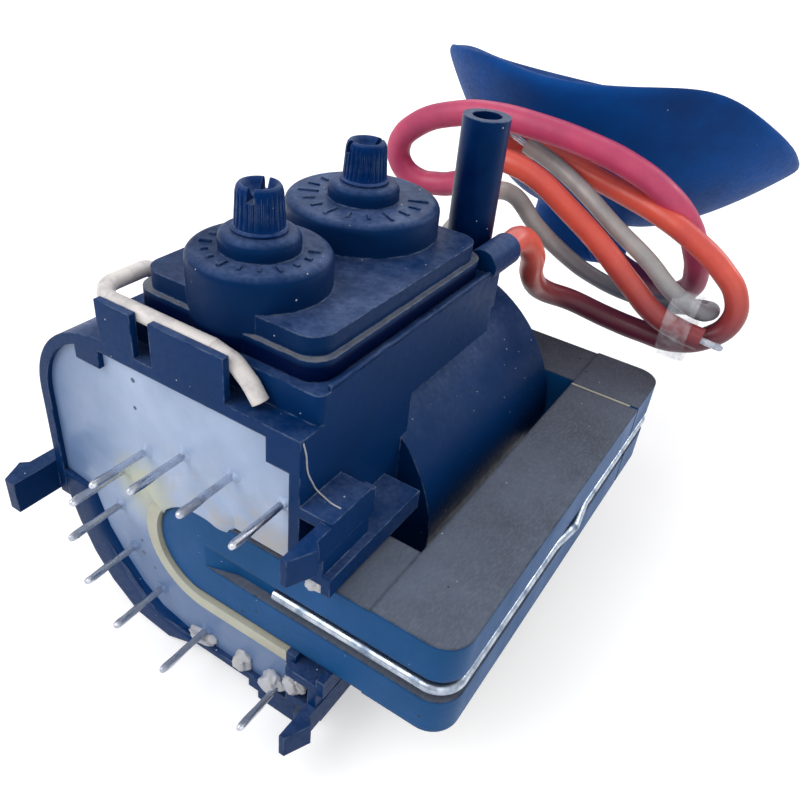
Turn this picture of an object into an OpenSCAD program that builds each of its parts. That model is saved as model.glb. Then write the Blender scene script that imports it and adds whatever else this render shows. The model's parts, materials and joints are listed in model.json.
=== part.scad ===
// Flyback transformer lying on its side: pins towards -Y, adjusters towards +Z.
// Sizes are first laid out from the axis of the coil (x and z) and the face of the
// terminal rim (y). seat() then moves every piece to the part's own origin.

/* [Ferrite core] */
// Thickness of the core, also the diameter of its round leg
core_t = 16.2; // [14:0.2:17]
// Coil axis to the outer face of the square leg
core_reach = 39.2; // [38:0.2:46]
// Width of the square leg
leg_w = 12.2; // [8:0.2:13]
// Width of each yoke
yoke_w = 12; // [10:0.2:14]
// Depth of the front yoke below the face of the rim
core_recess = 0.6; // [0:0.1:2]
// Radius of the outer corners
core_corner = 4; // [3:0.1:6]
// Thickness of the gap spacers
gap_t = 0.5; // [0.2:0.1:1]
// Width of the groove for the clip
groove_w = 4; // [2.4:0.2:6]
// Depth of the groove for the clip
groove_d = 1.5; // [1:0.1:2]
// Diameter of the clip's wire
clip_d = 1.6; // [1:0.1:2]

/* [Housing] */
// Wall of the housing
wall = 1.6; // [1:0.1:2]
// Outer radius of the coil barrel
barrel_r = 23; // [22.6:0.1:24]
// Face of the rim to the rear end of the barrel
barrel_len = 64.4; // [58:0.2:76]
// Coil axis to the top of the rim
rim_top = 28.5; // [26:0.1:30]
// Coil axis to the left side of the rim
rim_left = 29.6; // [28:0.1:34]
// Coil axis to the right side of the rim
rim_right = 16.6; // [16:0.1:19]
// Height of the flat underside's bed below the barrel
bed = 0.4; // [0.2:0.1:2]
// Length of the rim along the coil axis
rim_depth = 24; // [20:0.2:28]
// Radius of the rim's upper left corner
rim_corner = 13.2; // [8:0.2:14]
// Radius of the rim's lower left side
rim_round = 25.4; // [24.6:0.1:26.4]
// Left side's lower end below the coil axis
rim_drop = 4; // [2:0.2:8]
// Level of the resin behind the face of the rim
resin_fall = 0.8; // [0.4:0.1:2]

/* [Focus box] */
// Coil axis to the left side of the box
box_left = 15.2; // [14.6:0.1:16]
// Face of the rim to the front of the box
box_front = 3.4; // [3.2:0.1:4.2]
// Face of the rim to the back of the box
box_back = 47.1; // [46:0.1:52]
// Coil axis to the top of the box's walls
box_top = 32.5; // [31.8:0.1:35]
// Coil axis to the box's underside
box_under = 22.4; // [22:0.1:23]
// Width of the ledge that the cover sits on
ledge = 2.2; // [1.8:0.1:3]
// Depth of the box's back wall
back_wall = 3.7; // [3:0.1:5]
// Thickness of the ceramic divider plate
plate_t = 1; // [0.6:0.1:1.6]

/* [Cover and adjusters] */
// Part of the ledge that the cover's flange covers
lip = 0.8; // [0.6:0.1:1.4]
// Height of the cover's flange
flange_h = 2.7; // [2:0.1:4]
// Height of the cover's raised panel above the flange
panel_h = 2.5; // [1.8:0.1:4]
// Height of the bosses above the panel
boss_h = 4.4; // [3:0.1:6]
// Radius of the screen boss
screen_boss_r = 8.9; // [8:0.1:9.4]
// Radius of the focus boss
focus_boss_r = 10.9; // [9:0.1:11.4]
// Radius of the collar round each adjuster
collar_r = 5; // [4.4:0.1:6]
// Height of the collar round each adjuster
collar_h = 2.3; // [1:0.1:3]
// Radius of each adjuster's stem
knob_r = 3.1; // [2.4:0.1:3.6]
// Height of each adjuster above its collar
knob_h = 6.1; // [3:0.1:7]
// Splines on each adjuster
splines = 24; // [16:2:28]
// Running clearance of the stem in its bore
run_fit = 0.06; // [0.04:0.01:0.1]

/* [Pins and feet] */
// Diameter of a pin
pin_d = 1; // [0.8:0.1:1.2]
// Length of a pin in front of the resin
pin_len = 9.2; // [6:0.1:12]
// Radius of the horseshoe of pins
pin_r = 16.6; // [15.4:0.1:17.4]
// Distance between pins on the straight arms
pin_pitch = 8; // [7.4:0.1:8.4]
// Length of the snap feet in front of the rim
foot_len = 7.2; // [5:0.1:9]
// Thickness of the snap feet
foot_t = 2.6; // [2:0.1:3.4]
// Width of the snap feet beside the core
foot_w = 4; // [3:0.1:4.4]
// Width of the snap foot on the left side
left_w = 5.4; // [4:0.1:7]

/* [Leads] */
// Diameter of the ground lead
ground_d = 2.2; // [1.6:0.1:2.3]
// Diameter of the anode lead
anode_d = 4.8; // [4:0.1:5.2]
// Diameter of the focus lead
focus_d = 4.2; // [3.4:0.1:4.4]
// Diameter of the screen lead
screen_d = 3.2; // [2.6:0.1:3.6]
// Outer diameter of the upright outlet sleeve
sleeve_d = 7.1; // [6:0.1:8]
// Bore of the upright outlet sleeve
sleeve_bore = 4.4; // [3:0.1:5]
// Coil axis to the top of the upright outlet sleeve
sleeve_top = 52; // [40:0.5:56]
// Diameter of the anode cap's rim
cap_d = 80; // [66:1:84]

/* [Hidden] */
$fn = 64;
eps = 0.01;

// core
leg_r = core_t / 2;
core_fit = 0.4;
leg_in = core_reach - leg_w;
yoke_in = core_recess + yoke_w;
end_gap = 0.6;
rear_in = barrel_len + end_gap;
rear_out = rear_in + yoke_w;
rear_leg = 1.4;
joint_y = rear_in - rear_leg;
bow_y = (yoke_in + rear_in) / 2;
yoke_step = 0.25;
groove_start = 0;
groove_ramp = 5;
clip_r = clip_d / 2;
clip_fit = 0.05;
clip_start = groove_ramp + 7;
clip_out = core_reach - groove_d + clip_r + clip_fit;
clip_bend = core_corner - groove_d + clip_r + clip_fit;
clip_bow = 0.9;
bow_half = 6;

// bobbins and windings
pocket = leg_r + core_fit;
tube_wall = 1.9;
tube_r = pocket + tube_wall;
collar_wall = 2;
collar_fall = 2.2;
floor_t = 1.6;
floor_gap = 0.2;
floor_back = yoke_in + floor_gap + floor_t;
// the windings share the room between the bobbin's tube and the barrel
coil_room = barrel_r - wall - tube_r;
primary_r = tube_r + 0.2 * coil_room;
hv_in = primary_r + 0.04 * coil_room;
hv_tube = hv_in + 0.11 * coil_room;
hv_rim = barrel_r - wall - 0.09 * coil_room;
hv_y0 = rim_depth + 1;
hv_y1 = barrel_len - wall - 0.6;
hv_slots = 6;
hv_flange = 1;
hv_pitch = (hv_y1 - hv_y0 - hv_flange) / hv_slots;
hv_fill = hv_rim - 0.09 * coil_room;

// terminal rim
rim_bottom = barrel_r + bed;
dam = 6;
dam_fall = 1.6;
dam_wall = 1.2;
mouth_low = pin_r + 2.5;
mouth_knee = 0.55 * mouth_low;
mouth_side = rim_drop - 1.3;

// focus box, cover and adjusters
box_right = rim_right;
floor_z = rim_top;
plate_post = 0.8;
plate_z = floor_z + plate_post;
plate_top = plate_z + plate_t;
well_x0 = -box_left + ledge;
well_x1 = box_right - ledge;
well_y0 = box_front + ledge;
well_y1 = box_back - back_wall;
panel_z = box_top + flange_h + panel_h;
boss_z = panel_z + boss_h;
collar_z = boss_z + collar_h;
knob_z = collar_z + knob_h;
skin = 1.6;
cover_corner = 3;
boss_edge = 1.2;
box_corner = 1.2;
screen_xy = [0, well_y0 + 7.1];
focus_xy = [-0.7, well_y1 - 8.2];
rotor_gap = 0.1;
rotor_t = 2.4;
rotor_r = 6.2;
stem_r = 2.4;
stem_z = plate_top + 1.6;
wiper_gap = 0.05;
slot_w = 2 * knob_r * sin(180 / splines);
spline_d = 0.35 * slot_w;

// pins
pin_step = 27;
pin_first = 99;
pin_arm = pin_r + 0.8;
pin_root = 6;
pin_angles = [for (i = [0:5]) pin_first + i * pin_step];
pin_xz = concat(
    [[pin_pitch * 1.7, pin_arm], [pin_pitch * 0.7, pin_arm]],
    [for (a = pin_angles) pin_r * [cos(a), sin(a)]],
    [pin_r * [cos(267), sin(267)], [pin_pitch * 1.7, -pin_arm]]);

// feet, rails and tabs
rail_out = rim_right + 5.7;
rail_in = rim_right + 4.7;
rail_t = 1.3;
rail_len = 19;
ledge_z = pocket + 3;
rail_front = -1.2;
shelf_z = pocket + 10.5;
shelf_len = 8.2;
foot_z = shelf_z - 0.4 - foot_w;
foot_in = rim_right + 3.1;
foot_root = 9;
barb = 1;
tab_t = 1;
tab_h = 2.1;

// leads
lead_y = (tab_t + box_front) / 2;
lead_z = box_top + 1.3;
lead_turn = -box_left - 3;
nozzle_r = 2.5;
nozzle_xz = [box_right + 0.4 - nozzle_r, box_top + 0.7];
nozzle_end = box_back + 5.9;
sleeve_gap = 0.25;
sleeve_xy = [nozzle_xz[0] - nozzle_r - sleeve_gap - sleeve_d / 2, box_back + 5.4];
sleeve_z = barrel_r + 3;
spigot_h = 4;
spigot_r = sleeve_bore / 2 + 0.5;
spigot_fit = 0.05;
gland_xz = [-7, 15];
gland_end = barrel_len + 2.4;
screen_exit = [2.2, box_back, 29];

// where the part's origin lies: the middle of the underside, leads apart
x_low = -rim_left - foot_t - barb;
x_high = clip_out + clip_bow + clip_r;
y_low = resin_fall - pin_len;
y_high = rear_out - groove_d + clip_d + clip_fit;
module seat() { translate([-(x_low + x_high) / 2, -(y_low + y_high) / 2, rim_bottom]) children(); }

// tie and anode cap
tie_at = [38.5, 83.2, 15.8];
tie_half = [5, 7];
tie_wall = 0.4;
cap_at = [4.7, 128.7, 40.9];
cap_turn = [-13.6, 0, -9.5];
cap_wall = 1.8;
cap_edge = 0.8;
dome_r = 11;
dome_h = 10;
cup_h = 25;
neck_len = 5;
neck_turn = -27;
neck_out = [cos(cap_turn[2] + neck_turn), sin(cap_turn[2] + neck_turn), 0];
cap_lean = sin(-cap_turn[0]);
cap_axis = [-sin(cap_turn[2]) * cap_lean, cos(cap_turn[2]) * cap_lean, cos(cap_turn[0])];
neck_end = cap_at + (dome_r + neck_len) * neck_out - (cup_h + dome_h / 2) * cap_axis;

// routes of the free leads, from the coil axis and the rim's face
anode_route = [
    [gland_xz[0], gland_end, gland_xz[1]], [gland_xz[0], gland_end + 6, gland_xz[1]], [-4.5, 78.5, 18.5],
    [-5.5, 83.5, 24.5], [-10.5, 86.4, 28.6], [-16.5, 87, 28], [-22, 86, 26.6], [-24.9, 84.8, 29.4],
    [-23.4, 84, 33.2], [-19.6, 84, 38.4], [-12.5, 84, 42.1], [-4.8, 84, 43.4], [4, 84.5, 43.2],
    [12.6, 85.5, 42.1], [21.1, 87, 39.9], [27.8, 89.4, 36.2], [32.6, 92.4, 31.2], [34.9, 94.6, 26.4],
    [36.3, 96.4, 21.4], [35.6, 99.2, 16.4], [32, 101.4, 13], neck_end + 6 * neck_out, neck_end];
focus_route = [
    [nozzle_xz[0], nozzle_end, nozzle_xz[1]], [nozzle_xz[0], nozzle_end + 5, nozzle_xz[1]],
    [14.8, 64, 29], [13.2, 70.5, 21.8], [13.6, 77, 16.6], [18, 82, 14], [25, 83.8, 12.2],
    [32, 84.4, 11.5], [38.5, 85, 11.6], [43.4, 86.6, 13.6], [46.2, 87.8, 17.6], [45.4, 88, 22.3],
    [41.8, 88, 26.1], [35.5, 88.2, 29.8], [28.1, 89, 32.4], [21.4, 90.4, 33.6], [15, 91.5, 34.6],
    [7.6, 92.6, 36], [0.2, 92, 37], [-6, 90, 37.4], [-9.4, 86, 37], [-7, 81.8, 36.8], [-1, 79.8, 37.4],
    [6.4, 80, 35.9], [14.4, 80, 31.6], [21.3, 80, 27.3], [28.6, 80.2, 21.6], [34, 80.6, 17.6],
    [39, 81, 15.9], [43, 81.2, 15.4]];
screen_route = [
    screen_exit, screen_exit + [0, 5, 0], [2, 61, 31.6], [2.2, 70, 34], [4.2, 76.2, 33], [8.8, 80, 27],
    [14, 83.8, 21.7], [19.4, 88, 17.4], [26.5, 91.6, 14.6], [34, 93, 14.4], [39.6, 92.2, 16.2],
    [42.2, 88.4, 18], [40.8, 84.4, 19], [36.1, 82.5, 21.6], [29.6, 83, 25.9], [22.2, 84.4, 29.4],
    [14.4, 86.5, 33.2], [7, 88.4, 36.1], [0.6, 88.4, 38.4]];

// helpers
module along_y(y0, y1) {
    translate([0, y1, 0]) rotate([90, 0, 0]) linear_extrude(y1 - y0) children();
}
module rod_y(x, z, y0, y1, r) {
    translate([x, y0, z]) rotate([-90, 0, 0]) cylinder(r = r, h = y1 - y0);
}
module span(x0, x1, y0, y1, z0, z1) {
    translate([x0, y0, z0]) cube([x1 - x0, y1 - y0, z1 - z0]);
}
module rounded(x0, x1, y0, y1, r) {
    translate([x0 + r, y0]) square([x1 - x0 - 2 * r, y1 - y0]);
    translate([x0, y0 + r]) square([x1 - x0, y1 - y0 - 2 * r]);
    for (x = [x0 + r, x1 - r], y = [y0 + r, y1 - r]) translate([x, y]) circle(r);
}
// a bent wire: straight rods that run a little way into round bends of radius b
module wire(p, r, b) {
    n = len(p) - 1;
    d = [for (i = [0:n - 1]) unit(p[i + 1] - p[i])];
    turn = [for (i = [0:n]) i == 0 || i == n ? 0 : acos(d[i - 1] * d[i])];
    cut = [for (a = turn) a == 0 ? 0 : b * tan(a / 2) - b * 0.06];
    for (i = [0:n - 1]) translate(p[i] + cut[i] * d[i])
        rotate([0, acos(d[i][2]), atan2(d[i][1], d[i][0])])
            cylinder(r = r, h = norm(p[i + 1] - p[i]) - cut[i] - cut[i + 1]);
    for (i = [1:n - 1]) {
        y = d[i - 1];
        x = -level(d[i], y);
        z = cross(x, y);
        c = p[i] - b * tan(turn[i] / 2) * y - b * x;
        multmatrix([[x[0], y[0], z[0], c[0]], [x[1], y[1], z[1], c[1]],
                    [x[2], y[2], z[2], c[2]], [0, 0, 0, 1]])
            rotate_extrude(angle = turn[i]) translate([b, 0]) circle(r * 1.02);
    }
}
// a free lead: one tube swept along a smooth line through the route's points
function unit(v) = v / norm(v);
function knot(p, i) = p[max(0, min(len(p) - 1, i))];
function blend(a, b, c, d, t) =
    b + (c - a) * t / 2 + (2 * a - 5 * b + 4 * c - d) * t * t / 2 + (3 * b - a - 3 * c + d) * t * t * t / 2;
function smooth(p, n) = concat(
    [for (i = [0:len(p) - 2], k = [0:n - 1])
        blend(knot(p, i - 1), p[i], p[i + 1], knot(p, i + 2), k / n)], [p[len(p) - 1]]);
function heading(p) = [for (i = [0:len(p) - 1]) unit(knot(p, i + 1) - knot(p, i - 1))];
function level(v, t) = unit(v - (v * t) * t);
function sides(t) = [for (i = 0, v = level([0, 0.1, 1], t[0]); i < len(t); i = i + 1,
    v = level(v, t[min(i, len(t) - 1)])) v];
module lead(route, d, n) {
    p = smooth(route, n);
    t = heading(p);
    v = sides(t);
    m = 8;
    rings = [for (i = [0:len(p) - 1], k = [0:m - 1])
        p[i] + d / 2 * (cos(360 * k / m) * v[i] + sin(360 * k / m) * cross(t[i], v[i]))];
    skin_faces = [for (i = [0:len(p) - 2], k = [0:m - 1], h = [0, 1])
        let (a = i * m + k, b = i * m + (k + 1) % m) h == 0 ? [a, a + m, b] : [b, a + m, b + m]];
    ends = [[for (k = [0:m - 1]) k], [for (k = [m - 1:-1:0]) (len(p) - 1) * m + k]];
    polyhedron(rings, concat(skin_faces, ends));
}

// outline of the terminal rim, seen from the pins, set in by w
module rim2d(w) {
    translate([-rim_left + rim_corner, 0]) square([rim_left - rim_corner + rim_right - w, rim_top - w]);
    translate([-rim_left + w, w - rim_drop])
        square([rim_left - w, rim_top - rim_corner + rim_drop - w]);
    translate([-rim_left + rim_corner, rim_top - rim_corner]) circle(rim_corner - w);
    intersection() {
        circle(rim_round - w);
        translate([-rim_round, w - rim_bottom]) square([rim_round, rim_bottom]);
    }
    translate([-pin_r / 2, w - rim_bottom]) square([pin_r / 2 + rim_right - w, rim_bottom]);
}
// outline of the pocket that the front yoke lies in, grown by g
module pocket2d(g, reach) {
    circle(pocket + g);
    translate([0, -pocket - g]) square([reach, 2 * (pocket + g)]);
}
// the mouth of the rim: narrower at the lower left, where a dam stands behind the pins
module mouth2d(g) {
    polygon([[-2 * rim_left, rim_top], [rim_right, rim_top], [rim_right, -mouth_low - g],
             [-mouth_knee - g / 2, -mouth_low - g], [-rim_left + 2 * wall - g / 2, -mouth_side - g],
             [-2 * rim_left, -mouth_side - g]]);
}
// posts left standing in the upper corners of the rim
module rim_posts() {
    span(rim_right - 5, rim_right, -2, 8, rim_top - 5.2, rim_top);
    span(rim_corner - rim_left - 4, rim_corner - rim_left + 0.4, -2, 6, rim_top - 4.3, rim_top);
}
// the space inside the housing that the resin fills
module coil_space(y0) {
    difference() {
        along_y(y0, dam) intersection() { rim2d(wall); mouth2d(0); }
        rim_posts();
    }
    difference() {
        along_y(dam - eps, rim_depth - wall) rim2d(wall);
        rim_posts();
    }
    along_y(rim_depth - wall - eps, rim_depth + eps) intersection() { rim2d(wall); circle(barrel_r - wall); }
    rod_y(0, 0, rim_depth, barrel_len - wall, barrel_r - wall);
}
// one snap foot beside the core, under its shelf, with the ledge and lip that lie along the yoke
module side_foot() {
    translate([0, 0, foot_z]) linear_extrude(foot_w) polygon([
        [foot_in, -foot_len], [foot_in + foot_t / 3, -foot_len], [foot_in + foot_t, -foot_len / 2],
        [foot_in + foot_t - barb, 1 - foot_len / 2], [foot_in + foot_t - barb, foot_root],
        [foot_in, foot_root]]);
    span(rim_right - wall / 2, rail_in, 0, shelf_len, shelf_z - wall, shelf_z);
    along_y(rail_front, rail_len) polygon([
        [rim_right - wall / 2, ledge_z - wall], [rail_out - rail_t, ledge_z - wall],
        [rail_out - rail_t, pocket], [rail_out, pocket], [rail_out, ledge_z],
        [rim_right - wall / 2, ledge_z]]);
    // web between the ledge and the shelf, cut back at its front
    translate([rail_in - wall, 0, 0]) rotate([90, 0, 90]) linear_extrude(0.9 * wall) polygon([
        [rail_front, ledge_z - wall / 2], [shelf_len, ledge_z - wall / 2], [shelf_len, shelf_z - wall / 2],
        [0, shelf_z - wall / 2], [rail_front, foot_z]]);
}
// the snap foot on the left side
module left_foot() {
    translate([0, 0, rim_drop / 2 - left_w]) linear_extrude(left_w) polygon([
        [-rim_left, -foot_len], [0.6 - rim_left - foot_t, -foot_len],
        [-rim_left - foot_t - barb, -foot_len / 2], [-rim_left - foot_t, 1 - foot_len / 2],
        [-rim_left - foot_t, foot_root], [wall / 2 - rim_left, foot_root + 2], [wall / 2 - rim_left, 0],
        [-rim_left, 0]]);
}
module box_outer() {
    translate([0, 0, box_under]) linear_extrude(box_top - box_under)
        rounded(-box_left, box_right, box_front, box_back, box_corner);
}

module case() { color("#1d2330") seat() difference() {
    union() {
        along_y(0, rim_depth) rim2d(0);
        rod_y(0, 0, rim_depth - wall, barrel_len, barrel_r);
        box_outer();
        // saddle between the box and the barrel
        span(-box_left + 3, box_right - 4, rim_depth - 1, box_back - 2, barrel_r - 6, box_under + eps);
        // ribs along the underside of the barrel
        for (s = [-1, 1]) span(s * 13 - wall, s * 13 + wall, rim_depth - 1, barrel_len - 5, -rim_bottom, -16);
        // tabs that hold the ground lead
        span(-6.1, 5.5, 0, tab_t, rim_top - 1, box_top + tab_h);
        span(-box_left, 6 - box_left, 0, tab_t, rim_top - 1, box_top + tab_h);
        span(lead_turn - 1.6, -box_left + 1, lead_y + 2, lead_y + 2 + tab_t,
             rim_top - 1, lead_z - 0.55 * ground_d);
        side_foot();
        mirror([0, 0, 1]) side_foot();
        left_foot();
        // outlets: nozzle of the focus lead, seat of the sleeve, gland of the anode lead
        span(nozzle_xz[0] - nozzle_r - 1, box_right, box_back - 2.6, box_back, box_under + 4, nozzle_xz[1]);
        rod_y(nozzle_xz[0], nozzle_xz[1], box_back - 2.6, nozzle_end, nozzle_r);
        translate([sleeve_xy[0], sleeve_xy[1], 12]) cylinder(r = sleeve_d / 2 + 1, h = sleeve_z - 12);
        translate([sleeve_xy[0], sleeve_xy[1], 12]) cylinder(r = spigot_r, h = sleeve_z + spigot_h - 12);
        rod_y(gland_xz[0], gland_xz[1], barrel_len - wall, gland_end, anode_d / 2 + 1.4);
    }
    coil_space(-1);
    // the dam and the rim's lower left side stand back from the face
    along_y(-1, dam_fall) difference() {
        translate([-2 * rim_left, -2 * rim_bottom])
            square([2 * rim_left + pin_pitch, 2 * rim_bottom - mouth_side]);
        mouth2d(dam_wall);
    }
    // the front yoke lies across the rim's right side
    along_y(-1, floor_back) pocket2d(0, rim_right + 1);
    rod_y(0, 0, barrel_len - 2 * wall, barrel_len + 1, tube_r);
    // well of the focus box
    translate([0, 0, floor_z]) linear_extrude(box_top - floor_z + 1)
        rounded(well_x0, well_x1, well_y0, well_y1, box_corner);
    // notches in the rim's edge between the lower pins
    for (x = [-2.4, 5.6]) span(x, x + 4.2, -1, 3, -rim_bottom - 1, -rim_bottom + wall + eps);
} }

module potting_resin() { color("#dfe3ea") seat() difference() {
    coil_space(resin_fall);
    along_y(-1, floor_back) pocket2d(0, rim_right + 1);
    collar();
    rod_y(0, 0, floor_back - eps, barrel_len, tube_r);
    rod_y(0, 0, floor_back + 2, hv_y1, primary_r);
    translate([0, hv_y0, 0]) rotate([-90, 0, 0]) rotate_extrude() { hv_bobbin2d(); hv_winding2d(); }
    for (i = [0:2]) diode(i);
    for (i = [0:9]) pin_root_solid(i);
} }

// the bobbin's collar round the front yoke: the resin runs over the end of its upper arm
module collar() { difference() {
    along_y(0, floor_back) pocket2d(collar_wall, rim_right - wall);
    span(leg_r / 3, rim_right, -1, collar_fall, 0, pocket + 2 * collar_wall);
} }
module primary_bobbin() { color("#efe6cf") seat() difference() {
    union() {
        collar();
        rod_y(0, 0, floor_back - eps, barrel_len, tube_r);
    }
    along_y(-1, yoke_in + floor_gap) pocket2d(0, rim_right + 1);
    rod_y(0, 0, yoke_in - 1, barrel_len + 1, pocket);
} }
module primary_winding() { color("#b4632c") seat() difference() {
    rod_y(0, 0, floor_back + 2, hv_y1, primary_r);
    rod_y(0, 0, floor_back + 1, hv_y1 + 1, tube_r);
} }
// the coil former in section: a tube with a flange at each end of every slot
module hv_bobbin2d() {
    translate([hv_in, 0]) square([hv_tube - hv_in, hv_y1 - hv_y0]);
    for (i = [0:hv_slots])
        translate([hv_tube - eps, i * hv_pitch]) square([hv_rim - hv_tube + eps, hv_flange]);
}
module hv_winding2d() {
    for (i = [0:hv_slots - 1]) translate([hv_tube, i * hv_pitch + hv_flange])
        square([hv_fill - hv_tube, hv_pitch - hv_flange]);
}
module hv_bobbin() { color("#d8d2c0") seat() translate([0, hv_y0, 0]) rotate([-90, 0, 0])
    rotate_extrude() hv_bobbin2d(); }
module hv_winding() { color("#9c5226") seat() translate([0, hv_y0, 0]) rotate([-90, 0, 0])
    rotate_extrude() hv_winding2d(); }
module diode(i) { translate([-rim_left + 7, rim_depth - 4 - 5 * i, 0]) cylinder(d = 3.2, h = 10); }
module hv_diode_1() { color("#30343c") seat() diode(0); }
module hv_diode_2() { color("#30343c") seat() diode(1); }
module hv_diode_3() { color("#30343c") seat() diode(2); }

// plan of the clip's groove in one half: a ramp, along the yoke, round the corner, along the leg
module groove2d(reach_y) { difference() {
    translate([groove_start, -1]) square([core_reach, reach_y + 2]);
    polygon([[groove_start - 1, -eps], [groove_start, -eps], [groove_start + groove_ramp, groove_d],
             [core_reach - core_corner, groove_d], [core_reach - core_corner, reach_y + 2],
             [groove_start - 1, reach_y + 2]]);
    translate([core_reach - core_corner - eps, core_corner])
        square([core_corner - groove_d + eps, reach_y + 2]);
    translate([core_reach - core_corner, core_corner]) circle(core_corner - groove_d);
} }
// one ferrite half, with its yoke face at y = 0 and its legs towards +y
module core_half(reach_y) { difference() {
    union() {
        along_y(0, yoke_w) { circle(leg_r); translate([0, -leg_r]) square([core_reach, core_t]); }
        rod_y(0, 0, yoke_w - eps, reach_y, leg_r);
        span(leg_in, core_reach, yoke_w - eps, reach_y, -leg_r, leg_r);
    }
    translate([0, 0, -leg_r - 1]) linear_extrude(core_t + 2) difference() {
        translate([core_reach - core_corner, -1]) square(core_corner + 1);
        translate([core_reach - core_corner, core_corner]) circle(core_corner);
    }
    // the yoke is ground a little thinner than the square leg
    for (s = [0, 1]) mirror([0, 0, s]) span(-core_t, leg_in, -1, yoke_w, leg_r - yoke_step, leg_r + 1);
    translate([0, 0, -groove_w / 2]) linear_extrude(groove_w) groove2d(reach_y);
} }
module core_front() { color("#5c6068") seat()
    translate([0, core_recess, 0]) core_half(joint_y - gap_t / 2 - core_recess); }
module core_rear() { color("#565a62") seat()
    translate([0, rear_out, 0]) mirror([0, 1, 0]) core_half(rear_out - joint_y - gap_t / 2); }
module spacer_round() {
    color("#e8dfc4") seat() rod_y(0, 0, joint_y - gap_t / 2, joint_y + gap_t / 2, leg_r);
}
module spacer_square() { color("#e8dfc4") seat()
    span(leg_in, core_reach - groove_d, joint_y - gap_t / 2, joint_y + gap_t / 2, -leg_r, leg_r); }

module core_clip() {
    y0 = core_recess + groove_d - clip_r - clip_fit;
    y1 = rear_out - groove_d + clip_r + clip_fit;
    color("#9aa0a6") seat() wire([
        [clip_start, y0, 0], [clip_out, y0, 0], [clip_out, bow_y - bow_half, 0],
        [clip_out + clip_bow, bow_y, 0], [clip_out, bow_y + bow_half, 0],
        [clip_out, y1, 0], [clip_start, y1, 0]], clip_r, clip_bend);
}

// a solder pin: a round leg with a pointed end, and a square root in the resin
module pin_root_solid(i) {
    span(pin_xz[i][0] - pin_d * 0.65, pin_xz[i][0] + pin_d * 0.65, resin_fall, resin_fall + pin_root,
         pin_xz[i][1] - pin_d * 0.65, pin_xz[i][1] + pin_d * 0.65);
}
module solder_pin(i) { color("#c9ccd2") seat() {
    pin_root_solid(i);
    translate([pin_xz[i][0], resin_fall + eps, pin_xz[i][1]]) rotate([90, 0, 0]) {
        cylinder(d = pin_d, h = pin_len - pin_d / 2 + eps);
        translate([0, 0, pin_len - pin_d / 2]) cylinder(d1 = pin_d, d2 = pin_d / 2, h = pin_d / 2 + eps);
    }
} }
module pin_01() { solder_pin(0); }
module pin_02() { solder_pin(1); }
module pin_03() { solder_pin(2); }
module pin_04() { solder_pin(3); }
module pin_05() { solder_pin(4); }
module pin_06() { solder_pin(5); }
module pin_07() { solder_pin(6); }
module pin_08() { solder_pin(7); }
module pin_09() { solder_pin(8); }
module pin_10() { solder_pin(9); }

// one boss of the cover: solid outside, and the space of its adjuster inside
module round_top2d(r, h) {
    square([r, h - boss_edge]);
    square([r - boss_edge, h]);
    translate([r - boss_edge, h - boss_edge]) circle(boss_edge);
}
module boss(xy, r) { translate([xy[0], xy[1], box_top]) rotate_extrude() {
    round_top2d(r, boss_z - box_top);
    round_top2d(collar_r, collar_z - box_top);
} }
module boss_space(xy, r) { translate([xy[0], xy[1], 0]) {
    translate([0, 0, box_top]) cylinder(r = r - skin, h = boss_z - skin - box_top);
    translate([0, 0, box_top]) cylinder(r = knob_r + run_fit, h = collar_z - box_top + 1);
} }
module focus_cover() { color("#232b3c") seat() difference() {
    union() {
        translate([0, 0, box_top]) linear_extrude(flange_h)
            rounded(well_x0 - lip, well_x1 + lip, well_y0 - lip, well_y1 + lip, cover_corner);
        translate([0, 0, box_top]) linear_extrude(flange_h + panel_h)
            rounded(well_x0, well_x1, well_y0, well_y1, cover_corner);
        boss(screen_xy, screen_boss_r);
        boss(focus_xy, focus_boss_r);
    }
    translate([0, 0, box_top - 1]) linear_extrude(panel_z - skin - box_top + 1)
        rounded(well_x0 + skin, well_x1 - skin, well_y0 + skin, well_y1 - skin, cover_corner - skin / 2);
    boss_space(screen_xy, screen_boss_r);
    boss_space(focus_xy, focus_boss_r);
} }
module resistor_plate() { color("#e9e6dc") seat() {
    span(well_x0 + 0.3, well_x1 - 0.3, well_y0 + 0.3, well_y1 - 0.3, plate_z, plate_top);
    for (x = [well_x0 + 1.6, well_x1 - 4.6], y = [well_y0 + 1.6, well_y1 - 4.6])
        span(x, x + 3, y, y + 3, floor_z, plate_z + eps);
} }
module adjuster(xy) { translate([xy[0], xy[1], 0]) difference() {
    union() {
        translate([0, 0, stem_z]) cylinder(r = stem_r, h = boss_z - stem_z);
        translate([0, 0, boss_z - skin - rotor_gap - rotor_t]) cylinder(r = rotor_r, h = rotor_t);
        translate([0, 0, boss_z - skin - rotor_gap - eps])
            cylinder(r = knob_r, h = knob_z - boss_z + skin + rotor_gap + eps);
    }
    for (i = [0:splines - 1]) rotate(i * 360 / splines) translate([knob_r - spline_d, 0, collar_z + 0.6])
        rotate(-45) cube([1, 1, knob_h]);
    translate([-knob_r - 1, -slot_w / 2, knob_z - 1.6]) cube([2 * knob_r + 2, slot_w, 2]);
} }
module wiper(xy) { translate([xy[0], xy[1], 0]) {
    translate([0, 0, stem_z - 0.5]) cylinder(r = stem_r, h = 0.5);
    translate([0, -0.8, stem_z - 0.5]) cube([5, 1.6, 0.4]);
    translate([4.2, 0, plate_top + wiper_gap]) cylinder(r = 0.6, h = stem_z - 0.3 - plate_top - wiper_gap);
} }
module screen_knob() { color("#1a2434") seat() adjuster(screen_xy); }
module focus_knob() { color("#1a2434") seat() adjuster(focus_xy); }
module screen_wiper() { color("#c8a24a") seat() wiper(screen_xy); }
module focus_wiper() { color("#c8a24a") seat() wiper(focus_xy); }

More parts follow.
